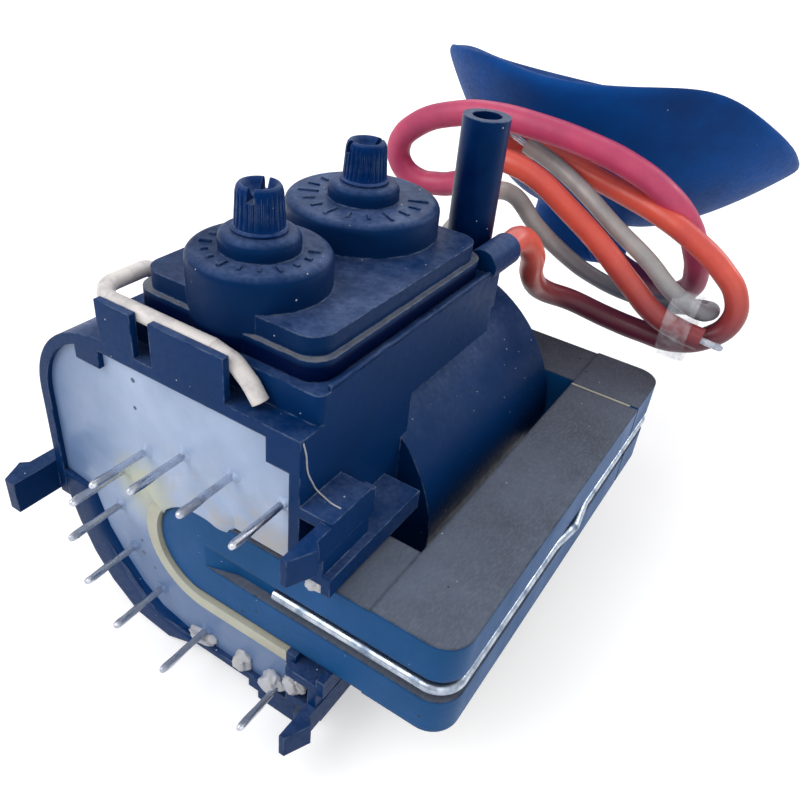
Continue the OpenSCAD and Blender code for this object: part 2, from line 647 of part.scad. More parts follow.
module ground_lead() { color("#efeadb") seat() wire([
    [-box_left - 0.05, 15, lead_z - 2.6], [lead_turn, 15, lead_z - 2.6], [lead_turn, 11, lead_z],
    [lead_turn, lead_y + 2.4, lead_z], [lead_turn + 2.4, lead_y, lead_z], [box_right - 14.6, lead_y, lead_z],
    [box_right - 11.3, lead_y, lead_z - 0.7], [box_right - 9, lead_y, lead_z - 2.6],
    [box_right - 7.6, lead_y, rim_top + 0.35 * ground_d]], ground_d / 2, 1.2 * ground_d); }
module outlet_sleeve() { color("#141b29") seat()
    translate([sleeve_xy[0], sleeve_xy[1], sleeve_z]) difference() {
        cylinder(d = sleeve_d, h = sleeve_top - sleeve_z);
        translate([0, 0, -1]) cylinder(d = sleeve_bore, h = sleeve_top - sleeve_z + 2);
        translate([0, 0, -1]) cylinder(r = spigot_r + spigot_fit, h = spigot_h + 1 + spigot_fit);
    } }
module anode_lead() { color("#a3324f") seat() lead(anode_route, anode_d, 1); }
module focus_lead() { color("#d2473c") seat() lead(focus_route, focus_d, 1); }
module screen_lead() { color("#a9a39a") seat() lead(screen_route, screen_d, 1); }
module lead_tie() { color("#cfd8e2") seat() translate(tie_at) rotate([90, 0, 90])
    linear_extrude(tie_half[0], center = true) difference() {
        rounded(-tie_half[0], tie_half[0], -tie_half[1], tie_half[1], 4);
        rounded(tie_wall - tie_half[0], tie_half[0] - tie_wall, tie_wall - tie_half[1],
                tie_half[1] - tie_wall, 4 - tie_wall);
    } }
// the cap: a bowl that flares from a hollow dome, with a neck for its lead
function flare(u) = [dome_r + (cap_d / 2 - dome_r) * u, -cup_h * (1 - pow(u, 1.7))];
module cap_outer2d() {
    polygon(concat(
        [[0, -cup_h - dome_h], [dome_r - 2, -cup_h - dome_h], [dome_r, 2 - cup_h - dome_h]],
        [for (u = [0:0.125:1]) flare(u)], [[cap_d / 2, cap_wall], [0, cap_wall]]));
}
module cap_inner2d() {
    polygon(concat(
        [[0, cap_wall - cup_h - dome_h], [dome_r - cap_wall, cap_wall - cup_h - dome_h]],
        [for (u = [0:0.125:1]) flare(u) + [-cap_edge - (cap_wall - cap_edge) * (1 - u), cap_wall]],
        [[cap_d / 2 - cap_edge, cap_wall + 1], [0, cap_wall + 1]]));
}
module anode_cap() { color("#20304e") seat() translate(cap_at) rotate(cap_turn) difference() {
    union() {
        rotate_extrude() cap_outer2d();
        translate([0, 0, -cup_h - dome_h / 2]) rotate([0, 90, neck_turn])
            cylinder(r = anode_d / 2 + 1.2, h = dome_r + neck_len);
    }
    rotate_extrude() cap_inner2d();
} }
module anode_clip() { color("#c9ccd2") seat() translate(cap_at) rotate(cap_turn)
    translate([0, 0, cap_wall - cup_h - dome_h]) {
        cylinder(r = dome_r - cap_wall - 0.1, h = 0.8);
        for (s = [-1, 1]) wire([[s * 3, 0, 0.4], [s * 3, 0, 9], [s * 5, 0, 11], [s * 3, 0, 14]], 0.5, 0.8);
    } }

case();
potting_resin();
primary_bobbin();
primary_winding();
hv_bobbin();
hv_winding();
hv_diode_1();
hv_diode_2();
hv_diode_3();
core_front();
core_rear();
spacer_round();
spacer_square();
core_clip();
pin_01();
pin_02();
pin_03();
pin_04();
pin_05();
pin_06();
pin_07();
pin_08();
pin_09();
pin_10();
focus_cover();
resistor_plate();
screen_knob();
focus_knob();
screen_wiper();
focus_wiper();
ground_lead();
outlet_sleeve();
anode_lead();
focus_lead();
screen_lead();
lead_tie();
anode_cap();
anode_clip();
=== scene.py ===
import json
import math

import bpy
from mathutils import Matrix, Vector


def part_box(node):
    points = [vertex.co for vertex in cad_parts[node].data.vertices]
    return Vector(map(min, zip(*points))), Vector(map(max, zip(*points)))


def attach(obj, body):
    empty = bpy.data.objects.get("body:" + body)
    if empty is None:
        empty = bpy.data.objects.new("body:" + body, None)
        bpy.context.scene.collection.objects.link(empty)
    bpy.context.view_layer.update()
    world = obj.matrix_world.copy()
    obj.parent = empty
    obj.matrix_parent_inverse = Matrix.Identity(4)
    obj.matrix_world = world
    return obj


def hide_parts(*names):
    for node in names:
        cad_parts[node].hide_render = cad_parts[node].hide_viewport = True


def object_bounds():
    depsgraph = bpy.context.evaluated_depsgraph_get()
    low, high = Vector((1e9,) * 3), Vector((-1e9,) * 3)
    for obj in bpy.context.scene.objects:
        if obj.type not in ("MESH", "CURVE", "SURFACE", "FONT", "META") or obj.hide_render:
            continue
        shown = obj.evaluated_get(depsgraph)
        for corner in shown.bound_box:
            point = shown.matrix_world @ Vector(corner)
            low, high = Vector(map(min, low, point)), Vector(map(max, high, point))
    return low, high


bl_info = {
    "name": "Flyback transformer",
    "version": (1, 0, 0),
    "blender": (4, 5, 0),
    "location": "View3D > Sidebar > Flyback",
    "description": "Dresses the packed flyback transformer: leads, anode cap, adjusters and finishes",
    "category": "Object",
}

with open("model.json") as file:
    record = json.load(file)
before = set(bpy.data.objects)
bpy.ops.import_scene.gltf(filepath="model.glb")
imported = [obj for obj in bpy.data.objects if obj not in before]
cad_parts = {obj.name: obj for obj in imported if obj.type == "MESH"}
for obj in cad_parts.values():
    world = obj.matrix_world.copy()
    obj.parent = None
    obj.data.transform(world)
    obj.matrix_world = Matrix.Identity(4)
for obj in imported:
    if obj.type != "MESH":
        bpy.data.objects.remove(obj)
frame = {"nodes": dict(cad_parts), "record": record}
CAD_BOX = [list(corner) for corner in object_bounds()]
NODES = frame["nodes"]
BODY = "transformer"
MM = 0.001

# The pieces are laid out in mm from the coil axis (x, z) and the face of the terminal rim (y).
COIL_LOW, COIL_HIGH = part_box("hv_bobbin")
AXIS_X = (COIL_LOW.x + COIL_HIGH.x) / 2
AXIS_Z = (COIL_LOW.z + COIL_HIGH.z) / 2
RIM_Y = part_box("primary_bobbin")[0].y

# camera: turn, rise and roll in degrees, and its place
CAMERA_ANGLES = (28.91, 34.85, 6.45)
CAMERA_AT = (57.70, -53.45, 82.05)
# lamps: name, place and size in metres, power in watts; all look at one spot
LAMPS = [
    ("key_lamp", (-0.28, -0.42, 0.5), 0.5, 2.6),
    ("fill_lamp", (0.5, -0.3, 0.35), 0.6, 0.9),
    ("rear_lamp", (-0.1, 0.55, 0.6), 0.7, 2.0),
    ("gleam_lamp", (0.42, 0.68, 0.52), 0.3, 1.6),
]
LAMP_AIM = (0, 0, 0.03)
FLOOR_SIZE = 6
FLOOR_GAP = 0.0002
# specular level of the dark plastic and of the ferrite
PLASTIC_GLOSS = 0.16
FERRITE_GLOSS = 0.3

# anode cap: middle of its rim, lean about X and Z, and profile
CAP_AT = (4.7, 128.7, 40.9)
CAP_LEAN = (-13.6, -9.5)
CAP_RADIUS = 40
CAP_WALL = 1.8
CUP_DEPTH = 25
DOME_RADIUS = 11
DOME_HEIGHT = 10
# waves of the soft rim: angle and width in degrees, height in mm
CAP_WAVES = [(-172, 14, 0.9), (-86, 18, -1.3), (-42, 20, 3.6), (14, 22, -4.2), (90, 40, 1.5)]
# neck of the cap (radius, distance from the cap's axis), and its direction
NECK_RINGS = [
    (3.6, 8.6), (3.6, 11), (4.1, 11.2), (4.1, 12), (3.5, 12.2), (3.5, 13), (4, 13.2), (4, 14),
    (3.4, 14.2), (3.3, 15.2), (2.9, 16), (2.45, 16.05),
]
NECK_TURN = -27
NECK_END = (16.398, 112.225, 11.741)
NECK_STEP = (4.823, -3.569, 0)

# routes of the leads
NOZZLE = (14.5, 53, 33.2)
GLAND = (-7, 66.8, 15)
SCREEN_EXIT = (2.2, 47.1, 29)
ANODE_ROUTE = [
    GLAND, (-7, 72.8, 15), (-4.5, 78.5, 18.5), (-5.5, 83.5, 24.5), (-10.2, 86.6, 28), (-16, 87, 26.6),
    (-21, 86.2, 26.4), (-24.8, 85.2, 29), (-25.2, 84.4, 33.2), (-21.6, 84, 37.8), (-12.5, 84, 42.1),
    (-4.8, 84, 43.4), (4, 84.5, 43.2), (12.6, 85.5, 42.1), (21.1, 87, 39.9), (27.8, 89.4, 36.2),
    (32.6, 92.4, 31.2), (34.9, 94.6, 26.4), (36.3, 96.4, 21.4), (35.6, 99.2, 16.4), (32, 101.4, 13),
    tuple(a + b for a, b in zip(NECK_END, NECK_STEP)), NECK_END,
]
FOCUS_ROUTE = [
    NOZZLE, (14.5, 58, 33.2), (14.8, 64, 29), (13.2, 70.5, 21.8), (13.6, 77, 16.6), (18, 82, 14),
    (25, 83.8, 12.2), (32, 84.4, 11.5), (38.5, 85, 11.6), (43.4, 86.6, 13.6), (46.2, 87.8, 17.6),
    (45.4, 88, 22.3), (41.8, 88, 26.1), (35.5, 88.2, 29.8), (28.1, 89, 32.4), (21.4, 90.4, 33.6),
    (15, 91.5, 34.6), (7.6, 92.6, 36), (0.2, 92, 37), (-6, 90, 37.4), (-9.4, 86, 37), (-7, 81.8, 36.8),
    (-1, 79.8, 37.4), (6.4, 80, 35.9), (14.4, 80, 31.6), (21.3, 80, 27.3), (28.6, 80.2, 21.6),
    (34, 80.6, 17.6), (39, 81, 15.9), (43, 81.2, 15.4),
]
SCREEN_ROUTE = [
    SCREEN_EXIT, (2.2, 52.1, 29), (2, 61, 31.6), (2.2, 70, 34), (4.2, 76.2, 33), (8.8, 80, 27),
    (14, 83.8, 21.7), (19.4, 88, 17.4), (26.5, 91.6, 14.6), (34, 93, 14.4), (39.6, 92.2, 16.2),
    (42.2, 88.4, 18), (40.8, 84.4, 19), (36.1, 82.5, 21.6), (29.6, 83, 25.9), (22.2, 84.4, 29.4),
    (14.4, 86.5, 33.2), (7, 88.4, 36.1), (0.6, 88.4, 38.4),
]
# tape round the hank: its middle, half its height and depth, its width and thickness
TIE_AT = (38.5, 83.2, 15.8)
TIE_HALF = (5, 7)
TIE_FIT = 0.97
TIE_WIDTH = 5
TIE_THICK = 0.25

# solder pins: place of each on the face of the resin
PIN_RING = 16.6
PIN_ARM = 17.4
PIN_PLACES = [(13.6, PIN_ARM), (5.6, PIN_ARM)]
PIN_PLACES += [(PIN_RING * math.cos(math.radians(a)), PIN_RING * math.sin(math.radians(a)))
               for a in (99, 126, 153, 180, 207, 234, 267)]
PIN_PLACES += [(13.6, -PIN_ARM)]
RESIN_FACE = 0.8
# collar of resin at the foot of each pin (radius, height)
PIN_COLLAR = [(1.2, -0.2), (1.1, 0.03), (0.85, 0.12), (0.66, 0.3), (0.56, 0.5), (0.46, 0.55)]

# flange of the cover, and the thin lip along the right wall of the box: x, y and z from and to
FLANGE_TOP = 35.2
LIP_SPAN = ((16.05, 16.62), (5.2, 44), (32.3, 33.3))

# apron of the rim at the lower left: its inner and outer edge (x, z), and its front and back (y)
APRON_INNER = [(-22.2, 0.2), (-21.3, -2.6), (-20, -6.5), (-17.3, -10.5), (-13.9, -14.5), (-9.9, -17.5),
               (-5.6, -18.7), (-3.2, -19.3)]
APRON_OUTER = [(-28, 1), (-27.7, -3.2), (-26.2, -8.4), (-23.8, -13.4), (-20.4, -18), (-15.6, -21.9),
               (-8.6, -23.1), (-3.4, -21)]
APRON_FRONT = -0.15
APRON_BACK = 1.8

# resin that ran over the upper arm of the bobbin's collar: angles and radii about the coil axis
SMEAR_ANGLES = (158, 56)
SMEAR_RADII = (8.2, 13)
SMEAR_THICK = 0.6

# middle of the yellow stain on the resin
YELLOW_SPOT = (-10.5, 0, 5.5)

# chips of spilled resin: place and half size
LUMPS = [
    ((-1.6, 0.4, -18.2), (2.4, 1.1, 1.2)),
    ((6.4, 0.4, -17.6), (1.8, 1.2, 1.3)),
    ((12.6, 0.1, -17.2), (2.2, 1.4, 1.4)),
    ((16.4, 0.2, -15.2), (1.7, 1.0, 2.0)),
    ((19.9, -0.9, 9.0), (1.3, 0.8, 0.8)),
]

# thread of resin that ran down the side wall on to the shelf
THREAD_RADIUS = 0.11
THREAD_ROUTE = [
    (16.62, 0.4, 28.2), (16.66, 0.9, 26.3), (16.66, 1.3, 23.6), (16.68, 2.2, 21.4), (16.9, 3.1, 19.5),
    (17.9, 3.1, 19.1), (19.3, 2.8, 19.08), (20.5, 2.8, 19.06),
]

# the two bosses on the cover: place, and inner and outer radius of the scale on top
BOSS_TOP = 42.1
BOSSES = [("screen", 0, 12.7, 5.7, 7.3), ("focus", -0.7, 35.2, 6.2, 9.2)]
# ticks of a scale: number, first angle and step in degrees, every which one is long, width
TICKS = 13
TICK_FIRST = -210
TICK_STEP = 20
LONG_TICK = 3
SHORT_SHARE = 0.6
TICK_WIDTH = 0.55

# adjusters: profile from the wheel in the box to the hollow crown (radius, height)
KNOB_PROFILE = [
    (2.4, 38), (6.2, 38), (6.2, 40.4), (3.1, 40.4), (3.1, 44.5), (3.4, 44.5), (3.4, 44.7), (3.28, 44.82),
    (3.08, 44.9), (3.06, 45.05), (3.05, 45.25), (2.96, 46.6), (2.86, 48.2), (2.82, 48.8), (2.77, 49.1),
    (2.66, 49.5), (2.44, 49.8), (2.2, 49.88), (1.98, 49.78), (1.65, 49.3), (1.3, 48.7), (0.7, 48.4),
    (0.2, 48.35),
]
# splines: heights where they start, are full, fade and end; inmost radius; depth as share of the radius
SPLINES = 24
SPLINE_ENDS = (45.0, 45.25, 48.8, 49.3)
SPLINE_INNER = 2.4
SPLINE_DEPTH = 0.075
# slot for the screwdriver: size, height of its foot, and its turn at rest
SLOT_SIZE = (8, 0.85, 3)
SLOT_FOOT = 48.25
SLOT_TURN = {"screen": 108, "focus": 62}


def at(x, y, z):
    """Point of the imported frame, in metres, for a place given in mm from coil axis and rim face"""
    return Vector((AXIS_X + x * MM, RIM_Y + y * MM, AXIS_Z + z * MM))


def moved(x, y, z):
    """Shift from the origin to a place given in mm from coil axis and rim face"""
    return Matrix.Translation(at(x, y, z))


def turned(degrees, axis):
    return Matrix.Rotation(math.radians(degrees), 4, axis)


def clear_selection():
    if bpy.context.object and bpy.context.object.mode != "OBJECT":
        bpy.ops.object.mode_set(mode="OBJECT")
    bpy.ops.object.select_all(action="DESELECT")


def pick(*pieces):
    """Select the pieces alone, the last one active"""
    clear_selection()
    for piece in pieces:
        piece.select_set(True)
    bpy.context.view_layer.objects.active = pieces[-1]


def edit_all():
    """Go into edit mode with the whole mesh selected"""
    bpy.ops.object.mode_set(mode="EDIT")
    bpy.ops.mesh.select_all(action="SELECT")


def leave_edit():
    """Turn all faces outwards and go back to object mode"""
    bpy.ops.mesh.select_all(action="SELECT")
    bpy.ops.mesh.normals_make_consistent(inside=False)
    bpy.ops.object.mode_set(mode="OBJECT")


def apply_modifier(obj, kind, **settings):
    """Add one modifier to a piece and apply it at once"""
    modifier = obj.modifiers.new(kind.lower(), kind)
    for key, value in settings.items():
        setattr(modifier, key, value)
    bpy.context.view_layer.objects.active = obj
    bpy.ops.object.modifier_apply(modifier=modifier.name)


def draw_out(rings, sides):
    """Draw a closed round piece out of a filled circle, ring by ring along Z (radius, height in mm)"""
    clear_selection()
    radius, height = rings[0]
    bpy.ops.mesh.primitive_circle_add(vertices=sides, radius=radius * MM, fill_type="NGON",
                                      location=(0, 0, height * MM))
    obj = bpy.context.object
    bpy.ops.object.transform_apply(location=True, rotation=True, scale=True)
    edit_all()
    for next_radius, next_height in rings[1:]:
        step = (0, 0, (next_height - height) * MM)
        bpy.ops.mesh.extrude_region_move(TRANSFORM_OT_translate={"value": step})
        factor = next_radius / radius
        bpy.ops.transform.resize(value=(factor, factor, 1), center_override=(0, 0, next_height * MM))
        radius, height = next_radius, next_height
    leave_edit()
    return obj


def bevelled_block(size, bevel, cuts=0):
    """Block of a size in mm about the origin, with bevelled edges and its edges cut up evenly"""
    clear_selection()
    bpy.ops.mesh.primitive_cube_add(size=1)
    edit_all()
    bpy.ops.transform.resize(value=[v * MM for v in size], center_override=(0, 0, 0))
    bpy.ops.mesh.bevel(offset=bevel * MM, segments=2, affect="EDGES")
    if cuts:
        bpy.ops.mesh.select_all(action="SELECT")
        bpy.ops.mesh.subdivide(number_cuts=cuts)
    bpy.ops.object.mode_set(mode="OBJECT")
    return bpy.context.object


def smooth_tube(name, route, radius, steps, roundness):
    """Round tube on a smooth curve through the points of a route, with its length in metres"""
    curve = bpy.data.curves.new(name, "CURVE")
    curve.dimensions = "3D"
    curve.resolution_u = steps
    curve.bevel_depth = radius
    curve.bevel_resolution = roundness
    curve.use_fill_caps = True
    line = curve.splines.new("BEZIER")
    line.bezier_points.add(len(route) - 1)
    for point, place in zip(line.bezier_points, route):
        point.co = at(*place)
        point.handle_left_type = "AUTO"
        point.handle_right_type = "AUTO"
    tube = bpy.data.objects.new(name, curve)
    bpy.context.scene.collection.objects.link(tube)
    bpy.context.view_layer.update()
    return tube, line.calc_length()


def sheet_piece(place, columns, rows, thickness):
    """Grid laid point by point by place(along, across) in mm, thickened along Y and softened"""
    clear_selection()
    bpy.ops.mesh.primitive_grid_add(x_subdivisions=columns, y_subdivisions=rows, size=1)
    sheet = bpy.context.object
    for vertex in sheet.data.vertices:
        vertex.co = at(*place(vertex.co.x + 0.5, vertex.co.y + 0.5))
    edit_all()
    bpy.ops.mesh.extrude_region_move(TRANSFORM_OT_translate={"value": (0, thickness * MM, 0)})
    leave_edit()
    apply_modifier(sheet, "BEVEL", width=0.2 * MM, segments=2, limit_method="ANGLE",
                   angle_limit=math.radians(50))
    smooth_by_angle(sheet, 50)
    return sheet


def copy_piece(source, name):
    """Copy of a piece with a mesh of its own"""
    obj = bpy.data.objects.new(name, source.data.copy())
    bpy.context.scene.collection.objects.link(obj)
    return obj


def remove_piece(obj):
    mesh = obj.data
    bpy.data.objects.remove(obj)
    bpy.data.meshes.remove(mesh)


def finish_piece(obj, name, slot, body=BODY, finish=None):
    """Name a piece, give it a finish (its slot's unless stated) and let it ride on its body"""
    obj.name = name
    obj.data.name = name
    obj.data.materials.clear()
    obj.data.materials.append(shop_material(finish or slot))
    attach(obj, body)
    return obj


def smooth_by_angle(obj, degrees):
    pick(obj)
    bpy.ops.object.shade_smooth_by_angle(angle=math.radians(degrees))


# node helpers

def feed(tree, node, inputs):
    """Give a node its inputs: a socket is linked, any other value is set"""
    for key, value in inputs.items():
        if isinstance(value, bpy.types.NodeSocket):
            tree.links.new(value, node.inputs[key])
        else:
            node.inputs[key].default_value = value


def add_node(tree, kind, inputs=None, **settings):
    """Add a node with its settings and inputs"""
    made = tree.nodes.new(kind)
    for key, value in settings.items():
        setattr(made, key, value)
    feed(tree, made, inputs or {})
    return made


def palette():
    return bpy.context.scene.flyback_colours


def rgba(colour):
    """A colour of the panel with its alpha; a socket stays as it is"""
    return colour if isinstance(colour, bpy.types.NodeSocket) else (*colour, 1.0)


def mix_colours(tree, factor, first, second):
    """Colour between two colours"""
    inputs = {0: factor, 6: rgba(first), 7: rgba(second)}
    return add_node(tree, "ShaderNodeMix", inputs, data_type="RGBA").outputs[2]


def maths(tree, operation, first, second=0.0):
    return add_node(tree, "ShaderNodeMath", {0: first, 1: second}, operation=operation).outputs[0]


def times(tree, first, second):
    return maths(tree, "MULTIPLY", first, second)


def ramp(tree, value, low, high, to_low=0.0, to_high=1.0):
    """Value stretched from one range to another, and held there"""
    inputs = {"Value": value, "From Min": low, "From Max": high, "To Min": to_low, "To Max": to_high}
    return add_node(tree, "ShaderNodeMapRange", inputs).outputs["Result"]


def noise(tree, place, scale, detail=3.0, rough=0.55):
    inputs = {"Vector": place, "Scale": scale, "Detail": detail, "Roughness": rough}
    return add_node(tree, "ShaderNodeTexNoise", inputs).outputs["Fac"]


def object_place(tree):
    return add_node(tree, "ShaderNodeTexCoord").outputs["Object"]


def seen_by(tree, *rays):
    """Mask of the given kinds of ray"""
    path = add_node(tree, "ShaderNodeLightPath").outputs
    mask = path["Is %s Ray" % rays[0]]
    for ray in rays[1:]:
        mask = maths(tree, "MAXIMUM", mask, path["Is %s Ray" % ray])
    return mask


def surface_normal(tree):
    return add_node(tree, "ShaderNodeNewGeometry").outputs["Normal"]


def along_axis(tree, vector, axis):
    return add_node(tree, "ShaderNodeSeparateXYZ", {0: vector}).outputs[axis]


def scattered(tree, place, scale, sizes, share):
    """Mask of round specks from small to large, in a share of the cells of a pattern"""
    cells = add_node(tree, "ShaderNodeTexVoronoi", {"Vector": place, "Scale": scale}).outputs
    chosen = add_node(tree, "ShaderNodeSeparateColor", {0: cells["Color"]}).outputs
    near = maths(tree, "LESS_THAN", cells["Distance"], ramp(tree, chosen["Green"], 0.0, 1.0, *sizes))
    return times(tree, near, maths(tree, "LESS_THAN", chosen["Red"], share))


def new_group(name, inputs, outputs):
    """Empty node group with its named sockets"""
    tree = bpy.data.node_groups.new(name, "ShaderNodeTree")
    for label, value in inputs:
        socket = tree.interface.new_socket(label, in_out="INPUT", socket_type="NodeSocketFloat")
        socket.default_value = value
    for label, kind in outputs:
        tree.interface.new_socket(label, in_out="OUTPUT", socket_type=kind)
    return tree, tree.nodes.new("NodeGroupInput"), tree.nodes.new("NodeGroupOutput")


def soft_edges_group():
    """Rounded edges: a bevelled normal, and a mask of the edges where it turns"""
    tree, start, end = new_group(
        "soft_edges", [("Radius", 0.0003), ("Breaks", 400.0)],
        [("Normal", "NodeSocketVector"), ("Wear", "NodeSocketFloat")])
    bevel = add_node(tree, "ShaderNodeBevel", {"Radius": start.outputs["Radius"]}, samples=4)
    inputs = {0: bevel.outputs[0], 1: surface_normal(tree)}
    match = add_node(tree, "ShaderNodeVectorMath", inputs, operation="DOT_PRODUCT")
    edge = ramp(tree, maths(tree, "SUBTRACT", 1.0, match.outputs["Value"]), 0.03, 0.16)
    breaks = noise(tree, object_place(tree), start.outputs["Breaks"], 4.0, 0.65)
    worn = times(tree, edge, ramp(tree, breaks, 0.42, 0.62))
    feed(tree, end, {"Normal": bevel.outputs[0], "Wear": worn})
    return tree


def settled_dust_group():
    """Dust that settles on faces turned up, and pale specks all over"""
    tree, start, end = new_group(
        "settled_dust", [("Amount", 0.5), ("Specks", 0.3)],
        [("Dust", "NodeSocketFloat"), ("Specks", "NodeSocketFloat")])
    place = object_place(tree)
    lies = ramp(tree, along_axis(tree, surface_normal(tree), "Z"), 0.45, 0.95)
    cloud = ramp(tree, noise(tree, place, 70.0, 6.0, 0.7), 0.36, 0.68)
    fine = ramp(tree, noise(tree, place, 1400.0, 2.0, 0.6), 0.3, 0.7, 0.45, 1.0)
    dust = times(tree, times(tree, lies, cloud), fine)
    specks = scattered(tree, place, 880.0, (0.03, 0.11), start.outputs["Specks"])
    feed(tree, end, {"Dust": times(tree, dust, start.outputs["Amount"]), "Specks": specks})
    return tree


def fine_grain_group():
    """Fine moulded grain: a height, and a slow change of tone"""
    tree, start, end = new_group(
        "fine_grain", [("Scale", 900.0)], [("Height", "NodeSocketFloat"), ("Tone", "NodeSocketFloat")])
    place = object_place(tree)
    height = noise(tree, place, start.outputs["Scale"], 3.0, 0.6)
    tone = ramp(tree, noise(tree, place, 45.0, 5.0, 0.6), 0.35, 0.65)
    feed(tree, end, {"Height": height, "Tone": tone})
    return tree


def new_material(name):
    material = bpy.data.materials.new(name)
    material.use_nodes = True
    tree = material.node_tree
    return material, tree, tree.nodes["Principled BSDF"]


def set_surface(tree, shader, colour, roughness, normal, **others):
    """Link or set the surface of a material; others are inputs of the shader by name"""
    feed(tree, shader, {"Base Color": colour, "Roughness": roughness, "Normal": normal, **others})


def bump(tree, height, distance, normal=None, strength=1.0):
    inputs = {"Height": height, "Distance": distance, "Strength": strength}
    if normal is not None:
        inputs["Normal"] = normal
    return add_node(tree, "ShaderNodeBump", inputs).outputs[0]


GROUPS = {
    "soft_edges": soft_edges_group,
    "settled_dust": settled_dust_group,
    "fine_grain": fine_grain_group,
}


def place_group(tree, name, **inputs):
    """Outputs of a node group, which is made the first time that it is asked for"""
    group = bpy.data.node_groups.get(name) or GROUPS[name]()
    return add_node(tree, "ShaderNodeGroup", inputs, node_tree=group).outputs


def ledge_dust_and_shade(tree, body, height):
    """Thick dust on a ledge at one height, and painted shade on the sides under it"""
    colours = palette()
    place = object_place(tree)
    over = maths(tree, "SUBTRACT", along_axis(tree, place, "Z"), height)
    upward = ramp(tree, along_axis(tree, surface_normal(tree), "Z"), 0.45, 0.9)
    level = ramp(tree, maths(tree, "ABSOLUTE", over), 0.5 * MM, 0.25 * MM)
    cloud = ramp(tree, noise(tree, place, 420.0, 5.0, 0.7), 0.3, 0.6, 0.35, 0.95)
    thick = times(tree, times(tree, level, upward), cloud)
    # painted shade on the sides just under the ledge, where the trench lies in shadow
    under = ramp(tree, over, -0.35 * MM, -0.9 * MM, 0.0, 0.9)
    body = mix_colours(tree, under, body, colours.trench_shade)
    return mix_colours(tree, thick, body, colours.ledge_dust), under


def moulded_plastic(name, colour, shade, dust=0.55, specks=0.16, rough=(0.36, 0.52), radius=0.3,
                    ledge=None):
    """Dark moulded plastic with grain, settled dust, pale specks, and worn edges lightened partly as a
    painted highlight
    """
    colours = palette()
    material, tree, shader = new_material(name)
    grain = place_group(tree, "fine_grain", Scale=1100.0)
    edges = place_group(tree, "soft_edges", Radius=radius * MM)
    settled = place_group(tree, "settled_dust", Amount=dust, Specks=specks)
    body = mix_colours(tree, grain["Tone"], colour, shade)
    body = mix_colours(tree, settled["Dust"], body, colours.dust)
    gloss = PLASTIC_GLOSS
    # under the flange the colour goes to painted shade and the gloss is cut, so the trench reads dark
    if ledge is not None:
        body, under = ledge_dust_and_shade(tree, body, ledge)
        gloss = ramp(tree, under, 0.0, 0.9, PLASTIC_GLOSS, 0.04)
    # worn edges, lightened also as a painted edge highlight
    body = mix_colours(tree, edges["Wear"], body, colours.worn_edge_and_highlight)
    body = mix_colours(tree, settled["Specks"], body, colours.speck)
    roughness = ramp(tree, grain["Height"], 0.3, 0.7, rough[0], rough[1])
    normal = bump(tree, grain["Height"], 0.00003, edges["Normal"], 0.6)
    set_surface(tree, shader, body, roughness, normal,
                **{"Specular IOR Level": gloss, "Specular Tint": rgba(colours.sheen)})
    return material


def ground_ferrite(name):
    """Ferrite: ground grey faces with fine scratches, sides painted blue as blue light falls on them,
    dark edges and pits
    """
    colours = palette()
    material, tree, shader = new_material(name)
    place = object_place(tree)
    edges = place_group(tree, "soft_edges", Radius=0.7 * MM, Breaks=500.0)
    settled = place_group(tree, "settled_dust", Amount=0.12, Specks=0.1)
    facing = maths(tree, "ABSOLUTE", along_axis(tree, surface_normal(tree), "Z"))
    ground = ramp(tree, facing, 0.4, 0.8)
    drift = add_node(tree, "ShaderNodeTexNoise", {"Vector": place, "Scale": 90.0, "Detail": 2.0})
    inputs = {0: 0.004, 4: place, 5: drift.outputs["Color"]}
    bent = add_node(tree, "ShaderNodeMix", inputs, data_type="VECTOR").outputs[1]
    stretched = add_node(tree, "ShaderNodeMapping", {"Vector": bent, "Scale": (1.0, 0.3, 1.0)})
    strokes = noise(tree, stretched.outputs[0], 3400.0, 4.0, 0.7)
    scratches = times(tree, ramp(tree, strokes, 0.45, 0.75), ground)
    cloud = ramp(tree, noise(tree, place, 55.0, 6.0, 0.65), 0.35, 0.68)
    # the ground faces take more of the darker tone towards the back of the core
    far = ramp(tree, along_axis(tree, place, "Y"), RIM_Y + 0.005, RIM_Y + 0.05, 0.15, 0.85)
    warm = times(tree, maths(tree, "ADD", cloud, far), 0.6)
    top = mix_colours(tree, warm, colours.ferrite_face, colours.ferrite_warm)
    top = mix_colours(tree, times(tree, scratches, 0.45), top, colours.ferrite_scratch)
    # the faces that do not turn up or down take painted blue light, in two tones
    side = mix_colours(tree, cloud, colours.ferrite_side_painted_blue, colours.ferrite_side_painted_blue_second)
    body = mix_colours(tree, ground, side, top)
    body = mix_colours(tree, times(tree, edges["Wear"], 0.8), body, colours.ferrite_edge)
    pits = scattered(tree, place, 380.0, (0.09, 0.09), 0.25)
    body = mix_colours(tree, pits, body, colours.ferrite_edge)
    body = mix_colours(tree, settled["Specks"], body, colours.speck)
    height = maths(tree, "ADD", times(tree, scratches, 0.5), noise(tree, place, 1500.0))
    normal = bump(tree, height, 0.00005, edges["Normal"], 0.6)
    set_surface(tree, shader, body, ramp(tree, cloud, 0.0, 1.0, 0.42, 0.6), normal,
                **{"Specular IOR Level": FERRITE_GLOSS, "Specular Tint": rgba(colours.sheen)})
    return material


